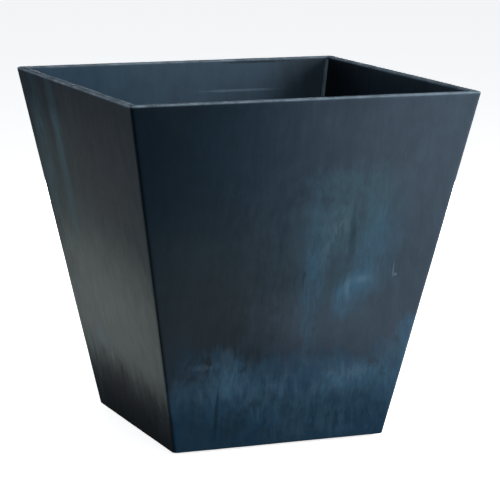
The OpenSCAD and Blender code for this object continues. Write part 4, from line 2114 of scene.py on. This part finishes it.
FRONT_STAINS_AND_PAINTED_LIGHT = (
    # The ground: near black at the upper left, slate at the upper right; partly the stain, partly a painted
    # falloff of the key light from the right
    WallMark(Tone.NAVY, -0.225, 0.430, 0.255, 0.245, 1.0, 0.9, 0.8, dryness=0.0),
    WallMark(Tone.STEEL, 0.060, 0.380, 0.180, 0.180, 0.6, 0.8, 0.8, dryness=0.0),
    WallMark(Tone.SLATE, 0.200, 0.350, 0.170, 0.250, 0.95, 0.9, 0.8, dryness=0.0),
    WallMark(Tone.PLUM, -0.021, 0.170, 0.080, 0.060, 0.22, 0.8, 1.0, dryness=0.0),
    WallMark(Tone.GREEN, -0.110, 0.205, 0.100, 0.080, 0.17, 0.8, 1.0, dryness=0.0),
    WallMark(Tone.SLATE, 0.100, 0.155, 0.120, 0.050, 0.72, 0.8, 1.0, dryness=0.0),
    # The hand-rubbed patch right of the middle
    WallMark(Tone.TEAL, 0.062, 0.250, 0.066, 0.085, 0.30, 0.7, 2.0, dryness=0.5),
    WallMark(Tone.TEAL, 0.060, 0.330, 0.050, 0.024, 0.45, 0.4, 4.0, 160.0),
    WallMark(Tone.TEAL, 0.100, 0.300, 0.018, 0.050, 0.50, 0.4, 4.0, 180.0),
    WallMark(Tone.BLUE, 0.024, 0.225, 0.015, 0.095, 0.50, 0.5, 4.0, 180.0),
    WallMark(Tone.TEAL, 0.054, 0.280, 0.026, 0.030, 0.85, 0.4, 4.0, 150.0),
    WallMark(Tone.BLUE, 0.108, 0.255, 0.024, 0.048, 0.42, 0.5, 4.0, 200.0),
    WallMark(Tone.BLUE, 0.088, 0.222, 0.014, 0.040, 0.60, 0.5, 3.0, 180.0),
    WallMark(Tone.PALE, 0.054, 0.286, 0.018, 0.018, 0.20, 0.5, 4.0, 200.0, 0.9),
    WallMark(Tone.PALE, 0.038, 0.250, 0.007, 0.034, 0.20, 0.5, 4.0, 200.0, 0.9),
    WallMark(Tone.NAVY, 0.071, 0.268, 0.004, 0.030, 0.45, 0.6, 2.5, 200.0, 0.3),
    WallMark(Tone.BLUE, 0.066, 0.188, 0.013, 0.026, 0.85, 0.6, 2.5, 150.0, 0.6),
    WallMark(Tone.BLUE, 0.086, 0.208, 0.020, 0.014, 0.80, 0.6, 2.5, 150.0, 0.6),
    WallMark(Tone.PALE, 0.070, 0.202, 0.004, 0.015, 0.40, 0.7, 3.0, 200.0, 0.6),
    WallMark(Tone.PALE, 0.088, 0.211, 0.012, 0.005, 0.40, 0.7, 3.0, 200.0, 0.6),
    WallMark(Tone.PALE, 0.130, 0.221, 0.0009, 0.009, 0.45, 0.4, 0.6, 260.0, 0.0),
    WallMark(Tone.PALE, 0.133, 0.214, 0.0024, 0.0018, 0.5, 0.4, 0.6, 260.0, 0.0),
    # The brushed band along the foot
    WallMark(Tone.DEEP, 0.000, 0.022, 0.210, 0.085, 0.92, 0.5, 2.0, dryness=0.15),
    WallMark(Tone.BLUE, 0.000, 0.074, 0.150, 0.036, 0.42, 0.5, 4.0, 90.0),
    WallMark(Tone.PALE, 0.000, 0.082, 0.155, 0.030, 0.16, 0.6, 4.0, 80.0, 0.8),
    WallMark(Tone.STEEL, -0.010, 0.030, 0.150, 0.034, 0.70, 0.5, 3.0, 60.0, 1.0),
    WallMark(Tone.NAVY, 0.000, 0.040, 0.150, 0.030, 0.45, 0.5, 4.0, 85.0, 1.0),
    WallMark(Tone.BLUE, 0.060, 0.030, 0.080, 0.026, 0.30, 0.5, 3.0, 110.0, 0.9),
    WallMark(Tone.BLUE, -0.080, 0.100, 0.024, 0.028, 0.60, 0.5, 4.0, 130.0),
    WallMark(Tone.BLUE, 0.083, 0.090, 0.045, 0.018, 0.65, 0.5, 3.5, 120.0),
    WallMark(Tone.PALE, 0.080, 0.092, 0.026, 0.008, 0.26, 0.7, 3.5, 180.0),
    WallMark(Tone.BLUE, 0.163, 0.132, 0.018, 0.028, 0.80, 0.5, 2.5, 150.0, 0.5),
    WallMark(Tone.BLUE, 0.140, 0.095, 0.020, 0.040, 0.50, 0.5, 3.5, 150.0),
    WallMark(Tone.PALE, -0.080, 0.116, 0.006, 0.014, 0.26, 0.5, 4.0, 200.0),
    WallMark(Tone.PALE, -0.110, 0.112, 0.014, 0.004, 0.22, 0.5, 4.0, 200.0),
    WallMark(Tone.NAVY, -0.088, 0.055, 0.0022, 0.030, 0.60, 0.5, 1.0, 200.0, 0.2),
)
LEFT_STAINS_AND_PAINTED_LIGHT = (
    # Darker at the top, a pale grey-green band low down and dark at the foot: partly stain, partly a painted
    # reflection of the lit floor
    WallMark(Tone.NAVY, 0.000, 0.460, 0.300, 0.110, 0.75, 0.9, 0.8, dryness=0.0),
    WallMark(Tone.GREEN, 0.000, 0.210, 0.230, 0.150, 0.85, 0.8, 0.8, dryness=0.0),
    WallMark(Tone.CHALK, 0.000, 0.145, 0.230, 0.085, 0.90, 0.8, 0.8, dryness=0.0),
    WallMark(Tone.CHALK, 0.000, 0.125, 0.230, 0.040, 0.45, 0.8, 1.5, 50.0, 0.3),
    WallMark(Tone.TEAL, -0.091, 0.393, 0.016, 0.060, 0.55, 0.6, 3.0, 60.0, 0.6),
    WallMark(Tone.TEAL, -0.160, 0.350, 0.026, 0.090, 0.42, 0.6, 3.0, 60.0, 0.7),
    WallMark(Tone.TEAL, -0.089, 0.300, 0.014, 0.065, 0.50, 0.6, 2.0, 60.0, 0.5),
    WallMark(Tone.NAVY, -0.130, 0.420, 0.070, 0.030, 0.55, 0.6, 2.0, 60.0, 0.3),
    WallMark(Tone.PLUM, 0.060, 0.330, 0.120, 0.080, 0.35, 0.8, 1.0, dryness=0.0),
    WallMark(Tone.PALE, -0.076, 0.108, 0.016, 0.016, 0.35, 0.6, 2.5, 90.0, 0.5),
    WallMark(Tone.PALE, -0.045, 0.098, 0.012, 0.020, 0.18, 0.6, 2.5, 90.0, 0.5),
    # Painted shade along the foot, where the wall meets the ground
    WallMark(Tone.DARK, 0.000, 0.010, 0.200, 0.060, 0.85, 0.6, 1.6, 60.0, 0.0),
    WallMark(Tone.PLUM, -0.030, 0.055, 0.120, 0.022, 0.45, 0.6, 2.5, 60.0, 0.3),
)
RIGHT_STAINS_AND_PAINTED_SHADE = (
    WallMark(Tone.STEEL, 0.100, 0.330, 0.150, 0.170, 0.60, 0.9, 0.8, dryness=0.0),
    WallMark(Tone.TEAL, -0.050, 0.270, 0.060, 0.090, 0.45, 0.7, 2.2),
    WallMark(Tone.BLUE, -0.055, 0.255, 0.030, 0.050, 0.55, 0.5, 4.0, 150.0),
    WallMark(Tone.BLUE, -0.020, 0.310, 0.024, 0.040, 0.45, 0.5, 4.0, 180.0),
    WallMark(Tone.DEEP, 0.000, 0.022, 0.210, 0.080, 0.92, 0.5, 2.0, dryness=0.15),
    WallMark(Tone.BLUE, 0.010, 0.070, 0.150, 0.036, 0.42, 0.5, 4.0, 90.0),
    WallMark(Tone.STEEL, 0.010, 0.030, 0.150, 0.034, 0.60, 0.5, 3.0, 70.0, 0.9),
    WallMark(Tone.PALE, 0.070, 0.095, 0.030, 0.010, 0.30, 0.7, 3.5, 180.0),
    # The inner face: painted shade over all of it, darkest towards the rear right corner
    WallMark(Tone.NAVY, 0.060, 0.330, 0.300, 0.300, 0.78, 0.5, 0.5, dryness=0.0, inside=True),
    WallMark(Tone.DARK, 0.190, 0.350, 0.090, 0.300, 0.85, 0.9, 0.5, dryness=0.0, inside=True),
)
REAR_STAINS_AND_PAINTED_SHADE = (
    WallMark(Tone.STEEL, -0.120, 0.340, 0.130, 0.150, 0.60, 0.9, 0.8, dryness=0.0),
    WallMark(Tone.TEAL, 0.060, 0.230, 0.080, 0.085, 0.45, 0.7, 2.2),
    WallMark(Tone.BLUE, 0.075, 0.215, 0.030, 0.050, 0.60, 0.5, 4.0, 150.0),
    WallMark(Tone.BLUE, 0.030, 0.270, 0.020, 0.050, 0.45, 0.5, 4.0, 180.0),
    WallMark(Tone.DEEP, 0.000, 0.022, 0.210, 0.085, 0.92, 0.5, 2.0, dryness=0.15),
    WallMark(Tone.BLUE, -0.020, 0.074, 0.150, 0.036, 0.42, 0.5, 4.0, 90.0),
    WallMark(Tone.STEEL, 0.010, 0.030, 0.150, 0.034, 0.60, 0.5, 3.0, 70.0, 0.9),
    WallMark(Tone.PALE, -0.080, 0.100, 0.026, 0.010, 0.30, 0.7, 3.5, 180.0),
    # The inner face: painted shade along the rear right corner
    WallMark(Tone.DARK, -0.190, 0.350, 0.050, 0.200, 0.65, 0.9, 0.6, dryness=0.0, inside=True),
    WallMark(Tone.DEEP, 0.150, 0.400, 0.080, 0.080, 0.35, 0.8, 1.5, dryness=0.0, inside=True),
    # A thin pale line across the inner face and, just under the rim, a thin dark line
    WallMark(Tone.PALE, -0.078, 0.399, 0.045, 0.0016, 0.35, 0.6, 1.2, dryness=0.0, inside=True),
    WallMark(Tone.DARK, -0.105, 0.436, 0.040, 0.0018, 0.60, 0.5, 2.0, dryness=0.0, inside=True),
)


def main() -> None:
    """Builds and dresses every sub-assembly in order, then the studio."""
    logging.basicConfig(level=logging.INFO, format="%(message)s")
    walls = Walls(
        dressing={
            Turn.FRONT: StainedWall("Front Wall Stain", Turn.FRONT, FRONT_STAINS_AND_PAINTED_LIGHT),
            Turn.RIGHT: StainedWall("Right Wall Stain", Turn.RIGHT, RIGHT_STAINS_AND_PAINTED_SHADE, (1.7, 0.4, 0.9)),
            Turn.REAR: StainedWall("Rear Wall Stain", Turn.REAR, REAR_STAINS_AND_PAINTED_SHADE, (0.6, 2.1, 1.4)),
            Turn.LEFT: StainedWall("Left Wall Stain", Turn.LEFT, LEFT_STAINS_AND_PAINTED_LIGHT, (2.3, 1.1, 0.3)),
        }
    )
    for assembly in (walls, Beads(), Base(), Feet(), Drain(), DrainagePlate()):
        pieces = assembly.build()
        LOG.info("%s: %d pieces", type(assembly).__name__, len(pieces))
    Studio().build()


if __name__ == "__main__":
    main()
